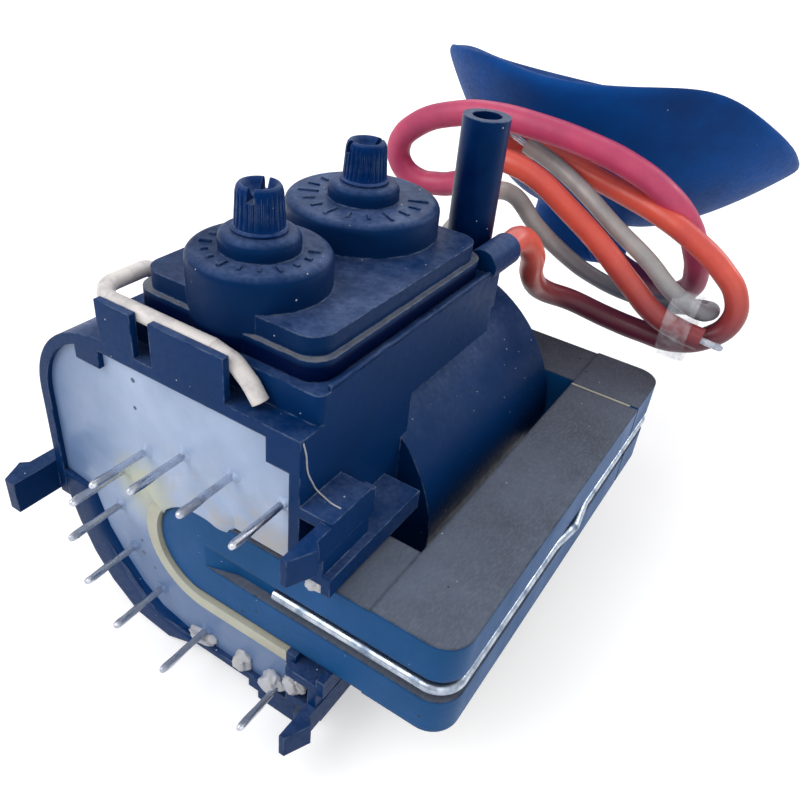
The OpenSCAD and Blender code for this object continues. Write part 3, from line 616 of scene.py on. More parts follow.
def cast_resin(name):
    """Pale cast resin: painted shade at the wall and low down, stained over the collar, with dark specks
    """
    colours = palette()
    material, tree, shader = new_material(name)
    place = object_place(tree)
    across = along_axis(tree, place, "X")
    height = along_axis(tree, place, "Z")
    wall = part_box("potting_resin")[0].x
    # painted shade: darker near the left wall of the rim and low down
    left = ramp(tree, across, wall + 0.017, wall + 0.002, 0.0, 0.9)
    right = ramp(tree, across, AXIS_X - 0.012, AXIS_X - 0.002)
    low = ramp(tree, height, AXIS_Z + 0.004, AXIS_Z - 0.008)
    near_collar = ramp(tree, height, AXIS_Z + 0.018, AXIS_Z + 0.011)
    above = ramp(tree, height, AXIS_Z + 0.003, AXIS_Z + 0.008)
    cloud = ramp(tree, noise(tree, place, 130.0, 5.0, 0.6), 0.34, 0.66)
    patches = ramp(tree, noise(tree, place, 220.0, 5.0, 0.6), 0.38, 0.68, 0.0, 0.8)
    stain = times(tree, times(tree, right, near_collar), times(tree, above, patches))
    body = mix_colours(tree, cloud, colours.resin, colours.resin_shade)
    body = mix_colours(tree, maths(tree, "MAXIMUM", left, low), body, colours.resin_painted_shade)
    body = mix_colours(tree, stain, body, colours.resin_stain)
    inputs = {0: place, 1: at(*YELLOW_SPOT)}
    reach = add_node(tree, "ShaderNodeVectorMath", inputs, operation="DISTANCE").outputs["Value"]
    yellow = times(tree, ramp(tree, reach, 0.0075, 0.003), ramp(tree, cloud, 0.0, 1.0, 0.45, 1.0))
    body = mix_colours(tree, yellow, body, colours.resin_yellow)
    specks = scattered(tree, place, 480.0, (0.05, 0.2), 0.13)
    body = mix_colours(tree, specks, body, colours.resin_speck)
    waves = noise(tree, place, 160.0, 2.0, 0.5)
    roughness = ramp(tree, cloud, 0.0, 1.0, 0.3, 0.45)
    set_surface(tree, shader, body, roughness, bump(tree, waves, 0.0007, None, 0.6))
    return material


def dirty_plain(name, colour, dirt, rough=0.45, amount=0.5, scale=160.0):
    """Pale moulding or sheath with cloudy dirt and a soft grain"""
    material, tree, shader = new_material(name)
    place = object_place(tree)
    edges = place_group(tree, "soft_edges", Radius=0.2 * MM)
    cloud = ramp(tree, noise(tree, place, scale, 6.0, 0.65), 0.45, 0.75, 0.0, amount)
    fine = noise(tree, place, 900.0, 3.0)
    body = mix_colours(tree, cloud, colour, dirt)
    roughness = ramp(tree, fine, 0.3, 0.7, rough - 0.07, rough + 0.09)
    set_surface(tree, shader, body, roughness, bump(tree, fine, 0.00003, edges["Normal"], 0.5))
    return material


def bright_metal(name, colour, dull, rough=0.3):
    """Metal with dull patches and small lumps"""
    material, tree, shader = new_material(name)
    place = object_place(tree)
    patch = ramp(tree, noise(tree, place, 420.0, 5.0, 0.6), 0.42, 0.66)
    body = mix_colours(tree, patch, colour, dull)
    set_surface(tree, shader, body, ramp(tree, patch, 0.0, 1.0, rough - 0.08, rough + 0.2),
                bump(tree, noise(tree, place, 1050.0, 3.0), 0.00006, None, 0.7), Metallic=1.0)
    return material


def wound_copper(name, colour, shade):
    """Close turns of fine enamelled wire"""
    material, tree, shader = new_material(name)
    place = object_place(tree)
    turns = add_node(tree, "ShaderNodeTexWave", {"Vector": place, "Scale": 900.0, "Distortion": 0.6},
                     bands_direction="Y").outputs["Fac"]
    body = mix_colours(tree, turns, shade, colour)
    set_surface(tree, shader, body, ramp(tree, turns, 0.0, 1.0, 0.5, 0.32),
                bump(tree, turns, 0.00008), Metallic=0.7)
    return material


def lead_sheath(name, colour, shade, painted_low_shade, rough=0.36):
    """Smooth sheath of a lead with dull handling marks, dust on top, and painted shade lower down in the
    hank
    """
    colours = palette()
    material, tree, shader = new_material(name)
    place = object_place(tree)
    settled = place_group(tree, "settled_dust", Amount=0.1, Specks=0.05)
    cloud = ramp(tree, noise(tree, place, 120.0, 5.0, 0.6), 0.36, 0.68)
    # painted shade: the sheath darkens lower down in the hank
    low = ramp(tree, along_axis(tree, place, "Z"), AXIS_Z + 0.027, AXIS_Z + 0.014, 0.0, 0.92)
    body = mix_colours(tree, cloud, colour, shade)
    body = mix_colours(tree, low, body, painted_low_shade)
    body = mix_colours(tree, settled["Dust"], body, colours.dust)
    fine = noise(tree, place, 700.0, 3.0)
    set_surface(tree, shader, body, ramp(tree, cloud, 0.0, 1.0, rough - 0.05, rough + 0.14),
                bump(tree, fine, 0.00004, None, 0.5))
    return material


def clear_film(name):
    """Clear tape: mostly see-through, with cloudy patches and a gloss"""
    colours = palette()
    material, tree, shader = new_material(name)
    cloud = noise(tree, object_place(tree), 260.0, 4.0, 0.6)
    body = mix_colours(tree, cloud, colours.tape, colours.tape_shine)
    set_surface(tree, shader, body, 0.12, bump(tree, cloud, 0.0003, None, 0.7),
                Alpha=ramp(tree, cloud, 0.45, 0.75, 0.05, 0.3))
    return material


# finish of each slot: what makes it, its colours, and what is set for it
FINISHES = {
    "black_plastic": (moulded_plastic, ("plastic", "plastic_shade"), {}),
    "cover_plastic": (moulded_plastic, ("cover", "plastic_shade"),
                      dict(dust=0.75, specks=0.22, ledge=AXIS_Z + FLANGE_TOP * MM)),
    "knob_plastic": (moulded_plastic, ("knob", "plastic_shade"),
                     dict(dust=0.8, specks=0.2, radius=0.18)),
    "sleeve_plastic": (moulded_plastic, ("sleeve", "plastic"),
                       dict(dust=0.4, specks=0.08, rough=(0.3, 0.42))),
    "cap_rubber": (moulded_plastic, ("cap", "cap_shade"),
                   dict(dust=0.3, specks=0.04, rough=(0.5, 0.68))),
    "diode_body": (moulded_plastic, ("knob", "plastic"), dict(dust=0.0, specks=0.0)),
    "ferrite": (ground_ferrite, (), {}),
    "resin": (cast_resin, (), {}),
    "resin_lump": (dirty_plain, ("resin_lump", "resin"), dict(rough=0.35, amount=0.6, scale=300.0)),
    "cream_plastic": (dirty_plain, ("cream", "cream_dirt"), {}),
    "spacer_film": (dirty_plain, ("cream", "cream_dirt"), dict(rough=0.35)),
    "ceramic": (dirty_plain, ("ceramic", "cream_dirt"), dict(rough=0.6, amount=0.3)),
    "white_wire": (dirty_plain, ("ground", "ground_dirt"), dict(rough=0.38, amount=0.65, scale=240.0)),
    "copper_wire": (wound_copper, ("copper", "copper_shade"), {}),
    "spring_steel": (bright_metal, ("steel", "steel_dull"), {}),
    "tinned_wire": (bright_metal, ("tin", "tin_dull"), dict(rough=0.32)),
    "contact_metal": (bright_metal, ("contact", "copper_shade"), dict(rough=0.35)),
    "crimson_sheath": (lead_sheath, ("anode_lead", "anode_shade", "anode_painted_shade"), dict(rough=0.42)),
    "red_sheath": (lead_sheath, ("focus_lead", "focus_shade", "focus_painted_shade"), {}),
    "grey_sheath": (lead_sheath, ("screen_lead", "screen_shade", "screen_painted_shade"), {}),
    "clear_tape": (clear_film, (), {}),
}


def shop_material(slot):
    """The finish of a slot, made the first time that it is asked for"""
    name = "dressed_" + slot
    made = bpy.data.materials.get(name)
    if made:
        return made
    maker, tones, settings = FINISHES[slot]
    colours = palette()
    return maker(name, *[getattr(colours, tone) for tone in tones], **settings)


def colour_prop(label, value):
    return bpy.props.FloatVectorProperty(
        name=label, description=label + ", linear", subtype="COLOR", size=3, min=0, max=1, default=value)


def value_prop(label, value, **settings):
    return bpy.props.FloatProperty(name=label, description=label, min=0, default=value, **settings)


def length_prop(label, value):
    return value_prop(label, value, subtype="DISTANCE", unit="LENGTH")


class FlybackColours(bpy.types.PropertyGroup):
    """Colours of the finishes"""
    plastic: colour_prop("Housing plastic", (0.001, 0.024, 0.105))
    plastic_shade: colour_prop("Housing plastic, second tone", (0.001, 0.019, 0.08))
    cover: colour_prop("Cover plastic", (0.002, 0.014, 0.06))
    knob: colour_prop("Adjuster plastic", (0.0003, 0.018, 0.12))
    sleeve: colour_prop("Outlet sleeve", (0.0, 0.004, 0.035))
    dust: colour_prop("Settled dust", (0.12, 0.175, 0.35))
    ledge_dust: colour_prop("Thick dust on the flange of the cover", (0.16, 0.17, 0.19))
    # painted shade in the trench under the flange of the cover
    trench_shade: colour_prop("Dirt under the flange of the cover", (0.0004, 0.003, 0.028))
    # lighter edges: wear, and also a painted highlight along them
    worn_edge_and_highlight: colour_prop("Worn edges of the plastic", (0.17, 0.22, 0.33))
    sheen: colour_prop("Sheen of the dark plastic", (0.12, 0.42, 1.0))
    speck: colour_prop("Pale specks", (0.55, 0.58, 0.62))
    ferrite_face: colour_prop("Ground face of the ferrite", (0.125, 0.148, 0.195))
    ferrite_warm: colour_prop("Ground face of the ferrite, warm patches", (0.064, 0.066, 0.082))
    ferrite_scratch: colour_prop("Scratches on the ferrite", (0.19, 0.21, 0.25))
    # painted blue light on the sides of the ferrite, in two tones
    ferrite_side_painted_blue: colour_prop("Sides of the ferrite", (0.003, 0.068, 0.22))
    ferrite_side_painted_blue_second: colour_prop("Sides of the ferrite, second tone", (0.005, 0.055, 0.16))
    ferrite_edge: colour_prop("Edges and pits of the ferrite", (0.02, 0.022, 0.03))
    resin: colour_prop("Cast resin", (0.36, 0.46, 0.66))
    resin_shade: colour_prop("Cast resin, second tone", (0.29, 0.38, 0.56))
    # painted shade on the resin near the wall and low down
    resin_painted_shade: colour_prop("Cast resin at the wall and low down", (0.1, 0.17, 0.33))
    resin_stain: colour_prop("Stain on the resin", (0.4, 0.36, 0.31))
    resin_yellow: colour_prop("Yellowed resin beside the collar", (0.47, 0.49, 0.36))
    resin_lump: colour_prop("Spilled resin", (0.46, 0.46, 0.48))
    resin_speck: colour_prop("Specks in the resin", (0.03, 0.06, 0.12))
    cream: colour_prop("Bobbin and spacers", (0.46, 0.46, 0.38))
    cream_dirt: colour_prop("Dirt on the bobbin", (0.26, 0.24, 0.16))
    ceramic: colour_prop("Ceramic divider", (0.8, 0.78, 0.72))
    ground: colour_prop("Ground lead", (0.74, 0.7, 0.68))
    ground_dirt: colour_prop("Dirt on the ground lead", (0.2, 0.19, 0.22))
    copper: colour_prop("Winding wire", (0.55, 0.27, 0.12))
    copper_shade: colour_prop("Winding wire, between turns", (0.2, 0.08, 0.03))
    steel: colour_prop("Core clip", (0.47, 0.53, 0.62))
    steel_dull: colour_prop("Core clip, dull patches", (0.15, 0.2, 0.29))
    tin: colour_prop("Solder", (0.6, 0.63, 0.7))
    tin_dull: colour_prop("Solder, dull patches", (0.34, 0.37, 0.45))
    contact: colour_prop("Sprung contacts", (0.66, 0.5, 0.22))
    anode_lead: colour_prop("Anode lead", (0.6, 0.06, 0.15))
    anode_shade: colour_prop("Anode lead, handled", (0.44, 0.04, 0.12))
    # painted shade of the anode lead lower down in the hank
    anode_painted_shade: colour_prop("Anode lead, down in the hank", (0.06, 0.005, 0.035))
    focus_lead: colour_prop("Focus lead", (0.74, 0.1, 0.06))
    focus_shade: colour_prop("Focus lead, handled", (0.6, 0.07, 0.055))
    # painted shade of the focus lead lower down in the hank
    focus_painted_shade: colour_prop("Focus lead, down in the hank", (0.05, 0.004, 0.026))
    screen_lead: colour_prop("Screen lead", (0.42, 0.39, 0.38))
    screen_shade: colour_prop("Screen lead, handled", (0.27, 0.26, 0.26))
    # painted shade of the screen lead lower down in the hank
    screen_painted_shade: colour_prop("Screen lead, down in the hank", (0.06, 0.085, 0.14))
    tape: colour_prop("Clear tape", (0.75, 0.82, 0.9))
    tape_shine: colour_prop("Clear tape, bright patches", (0.95, 0.97, 1.0))
    cap: colour_prop("Rubber of the anode cap", (0.003, 0.068, 0.3))
    cap_shade: colour_prop("Rubber of the anode cap, second tone", (0.008, 0.036, 0.15))


class FlybackSizes(bpy.types.PropertyGroup):
    """Sizes of the pieces that are modelled here"""
    anode_d: length_prop("Diameter of the anode lead", 0.0048)
    focus_d: length_prop("Diameter of the focus lead", 0.0042)
    screen_d: length_prop("Diameter of the screen lead", 0.0032)
    tail_d: length_prop("Diameter of the tinned lead ends", 0.0012)
    tick_height: length_prop("Height of the scale ticks", 0.00025)
    solder_swell: length_prop("Radius of the solder at its thickest", 0.0006)
    lens: value_prop("Focal length for a 36 mm frame", 35.405, unit="CAMERA")
    world_light: value_prop("Strength of the even light", 0.5)


class FLYBACK_OT_stage(bpy.types.Operator):
    """Set the camera, the soft lamps, the even light and the pale floor"""
    bl_idname = "flyback.stage"
    bl_label = "Stage"

    def execute(self, context):
        scene = context.scene
        sizes = scene.flyback_sizes
        scene.view_settings.view_transform = "Standard"
        turn, rise, roll = (math.radians(v) for v in CAMERA_ANGLES)
        flat = math.cos(rise)
        back = Vector((math.sin(turn) * flat, -math.cos(turn) * flat, math.sin(rise)))
        level = Vector((math.cos(turn), math.sin(turn), 0))
        right = level * math.cos(roll) + back.cross(level) * math.sin(roll)
        pose = Matrix((right, back.cross(right), back)).transposed().to_4x4()
        pose.translation = at(*CAMERA_AT)
        camera = bpy.data.objects.new("camera", bpy.data.cameras.new("camera"))
        scene.collection.objects.link(camera)
        camera.matrix_world = pose
        camera.data.lens = sizes.lens
        camera.data.sensor_width = 36
        camera.data.clip_start = 0.005
        scene.camera = camera
        for name, place, size, power in LAMPS:
            lamp = bpy.data.objects.new(name, bpy.data.lights.new(name, "AREA"))
            scene.collection.objects.link(lamp)
            lamp.data.size = size
            lamp.data.energy = power
            lamp.location = place
            aim = Vector(LAMP_AIM) - lamp.location
            lamp.rotation_euler = aim.to_track_quat("-Z", "Y").to_euler()
        world = bpy.data.worlds.new("even_light")
        scene.world = world
        world.use_nodes = True
        tree = world.node_tree
        seen = seen_by(tree, "Camera", "Transmission")
        strength = ramp(tree, seen, 0.0, 1.0, sizes.world_light, 1.0)
        mirrored = times(tree, seen_by(tree, "Glossy"), 0.75)
        strength = maths(tree, "MAXIMUM", strength, mirrored)
        feed(tree, tree.nodes["Background"], {"Color": (1, 1, 1, 1), "Strength": strength})
        clear_selection()
        bpy.ops.mesh.primitive_plane_add(size=FLOOR_SIZE, location=(0, 0, CAD_BOX[0][2] - FLOOR_GAP))
        floor = context.object
        floor.name = "floor"
        material, tree, shader = new_material("pale_floor")
        seen = seen_by(tree, "Camera", "Glossy", "Transmission")
        reach = add_node(tree, "ShaderNodeVectorMath", {0: object_place(tree)}, operation="LENGTH")
        # painted light: the floor glows for the camera, less near the middle than far off
        painted_floor_glow = ramp(tree, reach.outputs["Value"], 0.3, 0.9, 0.42, 0.7)
        feed(tree, shader, {
            "Base Color": (0.8, 0.8, 0.8, 1), "Roughness": 0.9, "Specular IOR Level": 0.0,
            "Emission Color": (1, 1, 1, 1), "Emission Strength": times(tree, seen, painted_floor_glow)})
        floor.data.materials.append(material)
        return {"FINISHED"}


class FLYBACK_OT_anode_cap(bpy.types.Operator):
    """Draw the rubber anode cap: dome, flared bowl, rolled rim and ribbed neck"""
    bl_idname = "flyback.anode_cap"
    bl_label = "Anode cap"

    def flare(self, share):
        """Radius and height of the outer bowl, from the dome (0) to the rim (1)"""
        radius = DOME_RADIUS + (CAP_RADIUS - DOME_RADIUS) * share
        return radius, -CUP_DEPTH * (1 - share ** 1.7)

    def execute(self, context):
        foot = -CUP_DEPTH - DOME_HEIGHT
        shares = [i / 12 for i in range(13)]
        dome = [(-3, 0), (-1.2, 0.3), (-0.2, 1.4), (0, 3), (0, 6), (0, DOME_HEIGHT - 1)]
        rings = [(DOME_RADIUS + step, foot + rise) for step, rise in dome]
        rings += [self.flare(s) for s in shares]
        rings += [(CAP_RADIUS, 0.9), (CAP_RADIUS - 0.3, CAP_WALL), (CAP_RADIUS - 0.9, CAP_WALL)]
        for share in reversed(shares[:-1]):
            radius, height = self.flare(share)
            rings.append((radius - 0.8 - 0.8 * (1 - share), height + CAP_WALL))
        inside = DOME_RADIUS - CAP_WALL
        rings += [(inside, foot + CAP_WALL + 1), (inside - 1, foot + CAP_WALL)]
        cap = draw_out(rings, sides=72)
        neck_z = -CUP_DEPTH - DOME_HEIGHT / 2
        neck = draw_out(NECK_RINGS, sides=32)
        neck.data.transform(turned(90, "Y"))
        neck.data.transform(turned(NECK_TURN, "Z"))
        neck.data.transform(Matrix.Translation((0, 0, neck_z * MM)))
        pick(neck, cap)
        bpy.ops.object.join()
        apply_modifier(cap, "SUBSURF", levels=1, render_levels=1)
        # the soft rim stands in waves
        for vertex in cap.data.vertices:
            spread = math.hypot(vertex.co.x, vertex.co.y) / (CAP_RADIUS * MM)
            angle = math.degrees(math.atan2(vertex.co.y, vertex.co.x))
            lift = 0.0
            for middle, width, height in CAP_WAVES:
                turn = (angle - middle + 180) % 360 - 180
                lift += height * math.exp(-(turn / width) ** 2)
            vertex.co.z += lift * MM * max(0.0, (spread - 0.35) / 0.65) ** 2
        lean = turned(CAP_LEAN[1], "Z") @ turned(CAP_LEAN[0], "X")
        cap.data.transform(moved(*CAP_AT) @ lean)
        smooth_by_angle(cap, 50)
        finish_piece(cap, "rubber_cap", "cap_rubber")
        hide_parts("anode_cap")
        return {"FINISHED"}


class FLYBACK_OT_leads(bpy.types.Operator):
    """Lay the three high-voltage leads of the hank along their routes"""
    bl_idname = "flyback.leads"
    bl_label = "High-voltage leads"

    def tail(self, name, route, diameter):
        """Twisted and tinned end of a lead, drawn out of its cut face"""
        radius = diameter / 2 / MM
        rings = [(radius, -1.5), (radius, 0.6), (radius * 1.12, 1.2), (radius, 2), (radius * 1.1, 2.8),
                 (radius * 0.95, 3.6), (radius * 0.5, 4)]
        piece = draw_out(rings, sides=14)
        heading = (at(*route[-1]) - at(*route[-2])).to_track_quat("Z", "Y").to_matrix().to_4x4()
        piece.data.transform(moved(*route[-1]) @ heading)
        smooth_by_angle(piece, 60)
        return finish_piece(piece, name, "tinned_wire")

    def execute(self, context):
        sizes = context.scene.flyback_sizes
        leads = (
            ("anode_cable", ANODE_ROUTE, sizes.anode_d, "crimson_sheath", "anode_lead", "fitting"),
            ("focus_cable", FOCUS_ROUTE, sizes.focus_d, "red_sheath", "focus_lead", "bare"),
            ("screen_cable", SCREEN_ROUTE, sizes.screen_d, "grey_sheath", "screen_lead", "bare"),
        )
        for name, route, diameter, finish, node, far_end in leads:
            lead, length = smooth_tube(name, route, diameter / 2, steps=8, roundness=5)
            finish_piece(lead, name, finish)
            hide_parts(node)
            if far_end == "bare":
                ends = [self.tail(name + "_tail", route, sizes.tail_d)]
            else:
                ends = [bpy.data.objects["rubber_cap"], NODES["anode_clip"]]
        return {"FINISHED"}


class FLYBACK_OT_tape_tie(bpy.types.Operator):
    """Wrap the clear tape round the hank"""
    bl_idname = "flyback.tape_tie"
    bl_label = "Tape tie"

    def execute(self, context):
        clear_selection()
        bpy.ops.mesh.primitive_cylinder_add(vertices=48, radius=1, depth=TIE_WIDTH * MM,
                                            end_fill_type="NOTHING")
        tape = context.object
        edit_all()
        bpy.ops.transform.resize(value=(TIE_HALF[1] * MM * TIE_FIT, TIE_HALF[0] * MM * TIE_FIT, 1),
                                 center_override=(0, 0, 0))
        bpy.ops.mesh.subdivide(number_cuts=3)
        bpy.ops.object.mode_set(mode="OBJECT")
        # the tape puckers where it is drawn tight between the leads
        for vertex in tape.data.vertices:
            x, y, z = vertex.co
            angle = math.atan2(y, x)
            pucker = math.sin(5 * angle + 900 * z) + 0.6 * math.sin(11 * angle - 700 * z)
            vertex.co.xy *= 1 - 0.02 * (1 + pucker / 1.6)
        apply_modifier(tape, "SOLIDIFY", thickness=TIE_THICK * MM, offset=-1)
        apply_modifier(tape, "SUBSURF", levels=1, render_levels=1)
        tape.data.transform(moved(*TIE_AT) @ turned(90, "Y"))
        smooth_by_angle(tape, 60)
        finish_piece(tape, "tape_tie", "clear_tape")
        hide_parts("lead_tie")
        return {"FINISHED"}


class FLYBACK_OT_boss_scales(bpy.types.Operator):
    """Raise a plain tick scale round each adjuster on the cover"""
    bl_idname = "flyback.boss_scales"
    bl_label = "Boss scales"

    def tick(self, length):
        """One raised tick with sloped sides, lying along X from the adjuster outwards"""
        height = bpy.context.scene.flyback_sizes.tick_height
        clear_selection()
        bpy.ops.mesh.primitive_plane_add(size=1)
        piece = bpy.context.object
        edit_all()
        bpy.ops.transform.resize(value=(length, TICK_WIDTH * MM, 1), center_override=(0, 0, 0))
        bpy.ops.mesh.extrude_region_move(TRANSFORM_OT_translate={"value": (0, 0, height)})
        bpy.ops.transform.resize(value=(0.88, 0.6, 1), center_override=(0, 0, height))
        bpy.ops.mesh.select_all(action="SELECT")
        bpy.ops.mesh.bevel(offset=0.06 * MM, segments=2, affect="EDGES")
        leave_edit()
        return piece

    def execute(self, context):
        for name, x, y, inner, outer in BOSSES:
            model = self.tick((outer - inner) * MM)
            reach = Matrix.Translation(((inner + outer) / 2 * MM, 0, 0))
            for index in range(TICKS):
                share = SHORT_SHARE if index % LONG_TICK else 1.0
                mark = copy_piece(model, "%s_tick_%02d" % (name, index))
                mark.data.transform(Matrix.Scale(share, 4, (1, 0, 0)))
                turn = turned(TICK_FIRST + index * TICK_STEP, "Z")
                mark.data.transform(moved(x, y, BOSS_TOP) @ turn @ reach)
                finish_piece(mark, mark.name, "cover_plastic")
            remove_piece(model)
        return {"FINISHED"}


class FLYBACK_OT_box_lip(bpy.types.Operator):
    """Raise the thin uneven lip along the right wall of the focus box"""
    bl_idname = "flyback.box_lip"
    bl_label = "Box lip"

    def execute(self, context):
        lip = bevelled_block([high - low for low, high in LIP_SPAN], bevel=0.14, cuts=30)
        # the edge is nicked and a little wavy
        for vertex in lip.data.vertices:
            if vertex.co.z > 0:
                run = vertex.co.y / MM
                wave = math.sin(1.7 * run) + math.sin(4.3 * run + 1) + 0.8 * math.sin(9.1 * run + 2)
                vertex.co.z -= 0.035 * MM * (2.8 + wave)
        middle = [(low + high) / 2 for low, high in LIP_SPAN]
        lip.data.transform(moved(*middle))
        smooth_by_angle(lip, 40)
        finish_piece(lip, "box_lip", "black_plastic")
        return {"FINISHED"}


class FLYBACK_OT_rim_apron(bpy.types.Operator):
    """Draw the uneven dark apron that closes the rim at the lower left"""
    bl_idname = "flyback.rim_apron"
    bl_label = "Rim apron"

    def edge(self, points, share):
        """Point on an edge of the apron, from its upper (0) to its lower end (1)"""
        run = min(share, 0.9999) * (len(points) - 1)
        first = int(run)
        return Vector(points[first]).lerp(Vector(points[first + 1]), run - first)

    def fall(self, along, across):
        """Point of the apron's dented front, which falls back to the resin at its inner edge"""
        x, z = self.edge(APRON_INNER, along).lerp(self.edge(APRON_OUTER, along), across)
        dent = math.sin(9 * along + 2) * math.sin(3 * across) + 0.5 * math.sin(23 * along)
        return x, APRON_FRONT + 0.05 * (1 + dent) + 0.9 * (1 - across) ** 7, z

    def execute(self, context):
        apron = sheet_piece(self.fall, columns=42, rows=10, thickness=APRON_BACK - APRON_FRONT)
        finish_piece(apron, "rim_apron", "black_plastic")
        return {"FINISHED"}


class FLYBACK_OT_adjusters(bpy.types.Operator):
    """Draw the two adjusters: flanged foot, tapered splined grip and hollow crown with its slot"""
    bl_idname = "flyback.adjusters"
    bl_label = "Adjusters"

    def grip(self, stem_foot):
        """One adjuster on the Z axis, in mm above the coil axis"""
        knob = draw_out([(KNOB_PROFILE[0][0], stem_foot)] + KNOB_PROFILE, SPLINES * 6)
        low, full, fade, end = (z * MM for z in SPLINE_ENDS)
        for vertex in knob.data.vertices:
            x, y, z = vertex.co
            if low < z < end and math.hypot(x, y) > SPLINE_INNER * MM:
                depth = min((z - low) / (full - low), (end - z) / (end - fade), 1.0)
                groove = max(0.0, math.cos(SPLINES * math.atan2(y, x)))
                vertex.co.xy *= 1 - SPLINE_DEPTH * depth * groove
        return knob

    def slot(self, knob, turn):
        """Cut the slot for the screwdriver across the crown"""
        cutter = bevelled_block(SLOT_SIZE, bevel=0.12)
        rise = Matrix.Translation((0, 0, (SLOT_FOOT + SLOT_SIZE[2] / 2) * MM))
        cutter.data.transform(turned(turn, "Z") @ rise)
        apply_modifier(knob, "BOOLEAN", object=cutter, operation="DIFFERENCE", solver="EXACT")
        remove_piece(cutter)

    def execute(self, context):
        for name, x, y, _inner, _outer in BOSSES:
            node = name + "_knob"
            stem_foot = (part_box(node)[0].z - AXIS_Z) / MM
            knob = self.grip(stem_foot)
            self.slot(knob, SLOT_TURN[name])
            knob.data.transform(moved(x, y, 0))
            smooth_by_angle(knob, 38)
            finish_piece(knob, name + "_grip", "knob_plastic", name + "_adjuster")
            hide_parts(node)
        return {"FINISHED"}


class FLYBACK_OT_solder(bpy.types.Operator):
    """Swell each pin with dipped solder, and close it in the resin with a small collar"""
    bl_idname = "flyback.solder"
    bl_label = "Solder dips"

    def execute(self, context):
        swell = context.scene.flyback_sizes.solder_swell / MM
        rings = [(0.46, 2.6), (0.51, 3.6), (swell * 0.92, 5), (swell * 0.97, 6.4), (swell, 7.6),
                 (swell, 8.4), (swell * 0.85, 8.95), (swell * 0.5, 9.2), (swell * 0.2, 9.25)]
        dip = draw_out(rings, sides=16)
        apply_modifier(dip, "SUBSURF", levels=1, render_levels=1)
        collar = draw_out(PIN_COLLAR, sides=20)
        apply_modifier(collar, "SUBSURF", levels=1, render_levels=1)
        models = (
            (dip, "tinned_wire", "solder_%02d", 0.05),
            (collar, "resin", "pin_collar_%02d", 0.16),
        )
        for index, (x, z) in enumerate(PIN_PLACES):
            spot = moved(x, RESIN_FACE, z) @ turned(90, "X")
            for model, slot, name, lump in models:
                piece = copy_piece(model, name % (index + 1))
                # no two pins are dipped quite alike
                for vertex in piece.data.vertices:
                    angle = math.atan2(vertex.co.y, vertex.co.x)
                    wave = math.sin(2 * angle + 2.1 * index)
                    wave += math.sin(3 * angle + 1300 * vertex.co.z + index)
                    vertex.co.xy *= 1 + lump * wave
                piece.data.transform(spot)
                smooth_by_angle(piece, 70)
                finish_piece(piece, piece.name, slot)
        remove_piece(dip)
        remove_piece(collar)
        return {"FINISHED"}


class FLYBACK_OT_resin_trim(bpy.types.Operator):
    """Lay the spilled resin: chips at the pins, smear over the collar, thread down the side wall"""
    bl_idname = "flyback.resin_trim"
    bl_label = "Spilled resin"

    def chip(self, index, place, size):
        """One uneven chip, different for each index"""
        clear_selection()
        bpy.ops.mesh.primitive_ico_sphere_add(subdivisions=3, radius=1)
        lump = bpy.context.object
        for vertex in lump.data.vertices:
            x, y, z = vertex.co
            swell = math.sin(3.1 * x + index) + math.sin(3.7 * z - 2 * index) + math.sin(4.3 * y + x)
            vertex.co *= 1 + 0.13 * swell + 0.1 * math.sin(17 * x + 13 * z + 5 * index)
        spread = Matrix.Diagonal((size[0] * MM, size[1] * MM, size[2] * MM, 1))
        lump.data.transform(moved(*place) @ spread)
        smooth_by_angle(lump, 22)
        return lump

    def run_over(self, along, across):
        """Point of the smear, which thins out from the collar outwards and at both ends"""
        angle = math.radians(SMEAR_ANGLES[0] + (SMEAR_ANGLES[1] - SMEAR_ANGLES[0]) * along)
        radius = SMEAR_RADII[0] + (SMEAR_RADII[1] - SMEAR_RADII[0]) * across
        radius += 0.5 * across * math.sin(11 * along + 1)
        ends = max(0.0, 1 - along / 0.2) ** 2 + max(0.0, (along - 0.85) / 0.15) ** 2
        ripple = 0.05 * math.sin(17 * along + 4 * across) * (1 - across)
        depth = -0.16 + 1.1 * max(0.0, across - 0.45) ** 1.2 * 2 + ripple + 1.1 * ends
        return radius * math.cos(angle), depth, radius * math.sin(angle)

    def execute(self, context):
        for index, (place, size) in enumerate(LUMPS):
            lump = self.chip(index, place, size)
            finish_piece(lump, "resin_lump_%d" % (index + 1), "resin", finish="resin_lump")
        smear = sheet_piece(self.run_over, columns=36, rows=10, thickness=SMEAR_THICK)
        finish_piece(smear, "resin_smear", "resin")
        thread, _length = smooth_tube("thread", THREAD_ROUTE, THREAD_RADIUS * MM, steps=6, roundness=2)
        pick(thread)
        bpy.ops.object.convert(target="MESH")
        finish_piece(context.object, "resin_thread", "resin", finish="resin_lump")
        return {"FINISHED"}


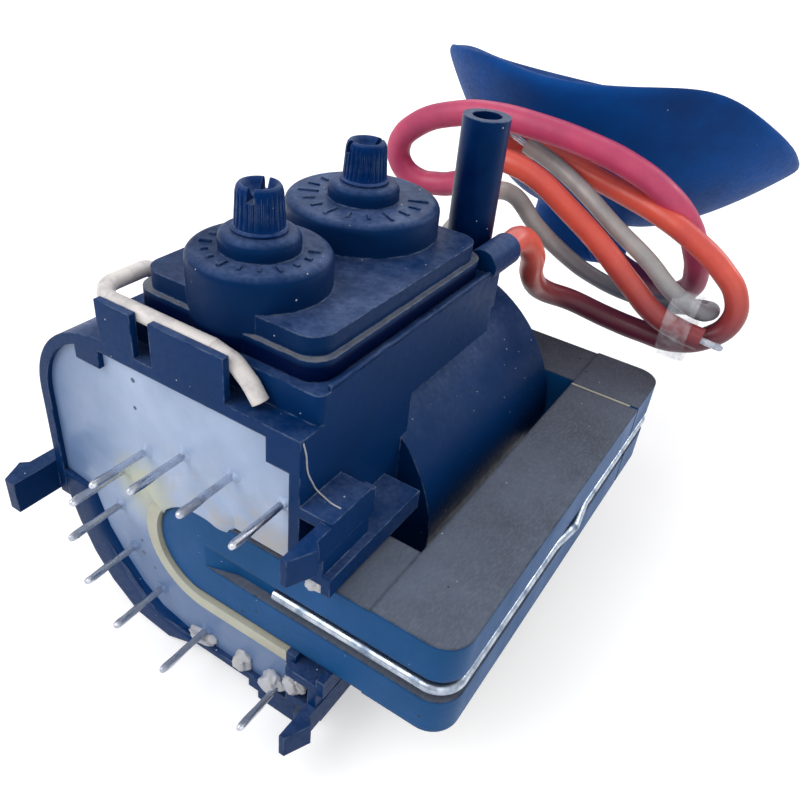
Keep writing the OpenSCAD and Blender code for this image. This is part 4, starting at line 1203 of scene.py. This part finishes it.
class FLYBACK_OT_finishes(bpy.types.Operator):
    """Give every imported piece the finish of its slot"""
    bl_idname = "flyback.finishes"
    bl_label = "Finishes"

    def execute(self, context):
        for row in frame["record"]["subparts"]:
            node = NODES[row["node"]]
            node.data.materials.clear()
            node.data.materials.append(shop_material(row["material_slot"]))
        return {"FINISHED"}


OPERATORS = (
    FLYBACK_OT_stage, FLYBACK_OT_anode_cap, FLYBACK_OT_leads, FLYBACK_OT_tape_tie,
    FLYBACK_OT_finishes, FLYBACK_OT_box_lip, FLYBACK_OT_rim_apron, FLYBACK_OT_adjusters,
    FLYBACK_OT_boss_scales, FLYBACK_OT_solder, FLYBACK_OT_resin_trim,
)


class FLYBACK_PT_pieces(bpy.types.Panel):
    """Pieces and finishes of the flyback transformer"""
    bl_idname = "FLYBACK_PT_pieces"
    bl_label = "Flyback transformer"
    bl_space_type = "VIEW_3D"
    bl_region_type = "UI"
    bl_category = "Flyback"

    def draw(self, context):
        layout = self.layout
        for operator in OPERATORS:
            layout.operator(operator.bl_idname)
        for group in (context.scene.flyback_sizes, context.scene.flyback_colours):
            box = layout.box()
            for key in group.bl_rna.properties.keys():
                if key not in {"rna_type", "name"}:
                    box.prop(group, key)


CLASSES = (FlybackColours, FlybackSizes) + OPERATORS + (FLYBACK_PT_pieces,)


def register():
    for cls in CLASSES:
        bpy.utils.register_class(cls)
    bpy.types.Scene.flyback_colours = bpy.props.PointerProperty(type=FlybackColours)
    bpy.types.Scene.flyback_sizes = bpy.props.PointerProperty(type=FlybackSizes)


def unregister():
    del bpy.types.Scene.flyback_sizes
    del bpy.types.Scene.flyback_colours
    for cls in reversed(CLASSES):
        bpy.utils.unregister_class(cls)


def main():
    register()
    bpy.ops.flyback.stage()
    bpy.ops.flyback.anode_cap()
    bpy.ops.flyback.leads()
    bpy.ops.flyback.tape_tie()
    bpy.ops.flyback.finishes()
    bpy.ops.flyback.box_lip()
    bpy.ops.flyback.rim_apron()
    bpy.ops.flyback.adjusters()
    bpy.ops.flyback.boss_scales()
    bpy.ops.flyback.solder()
    bpy.ops.flyback.resin_trim()


if __name__ == "__main__":
    main()
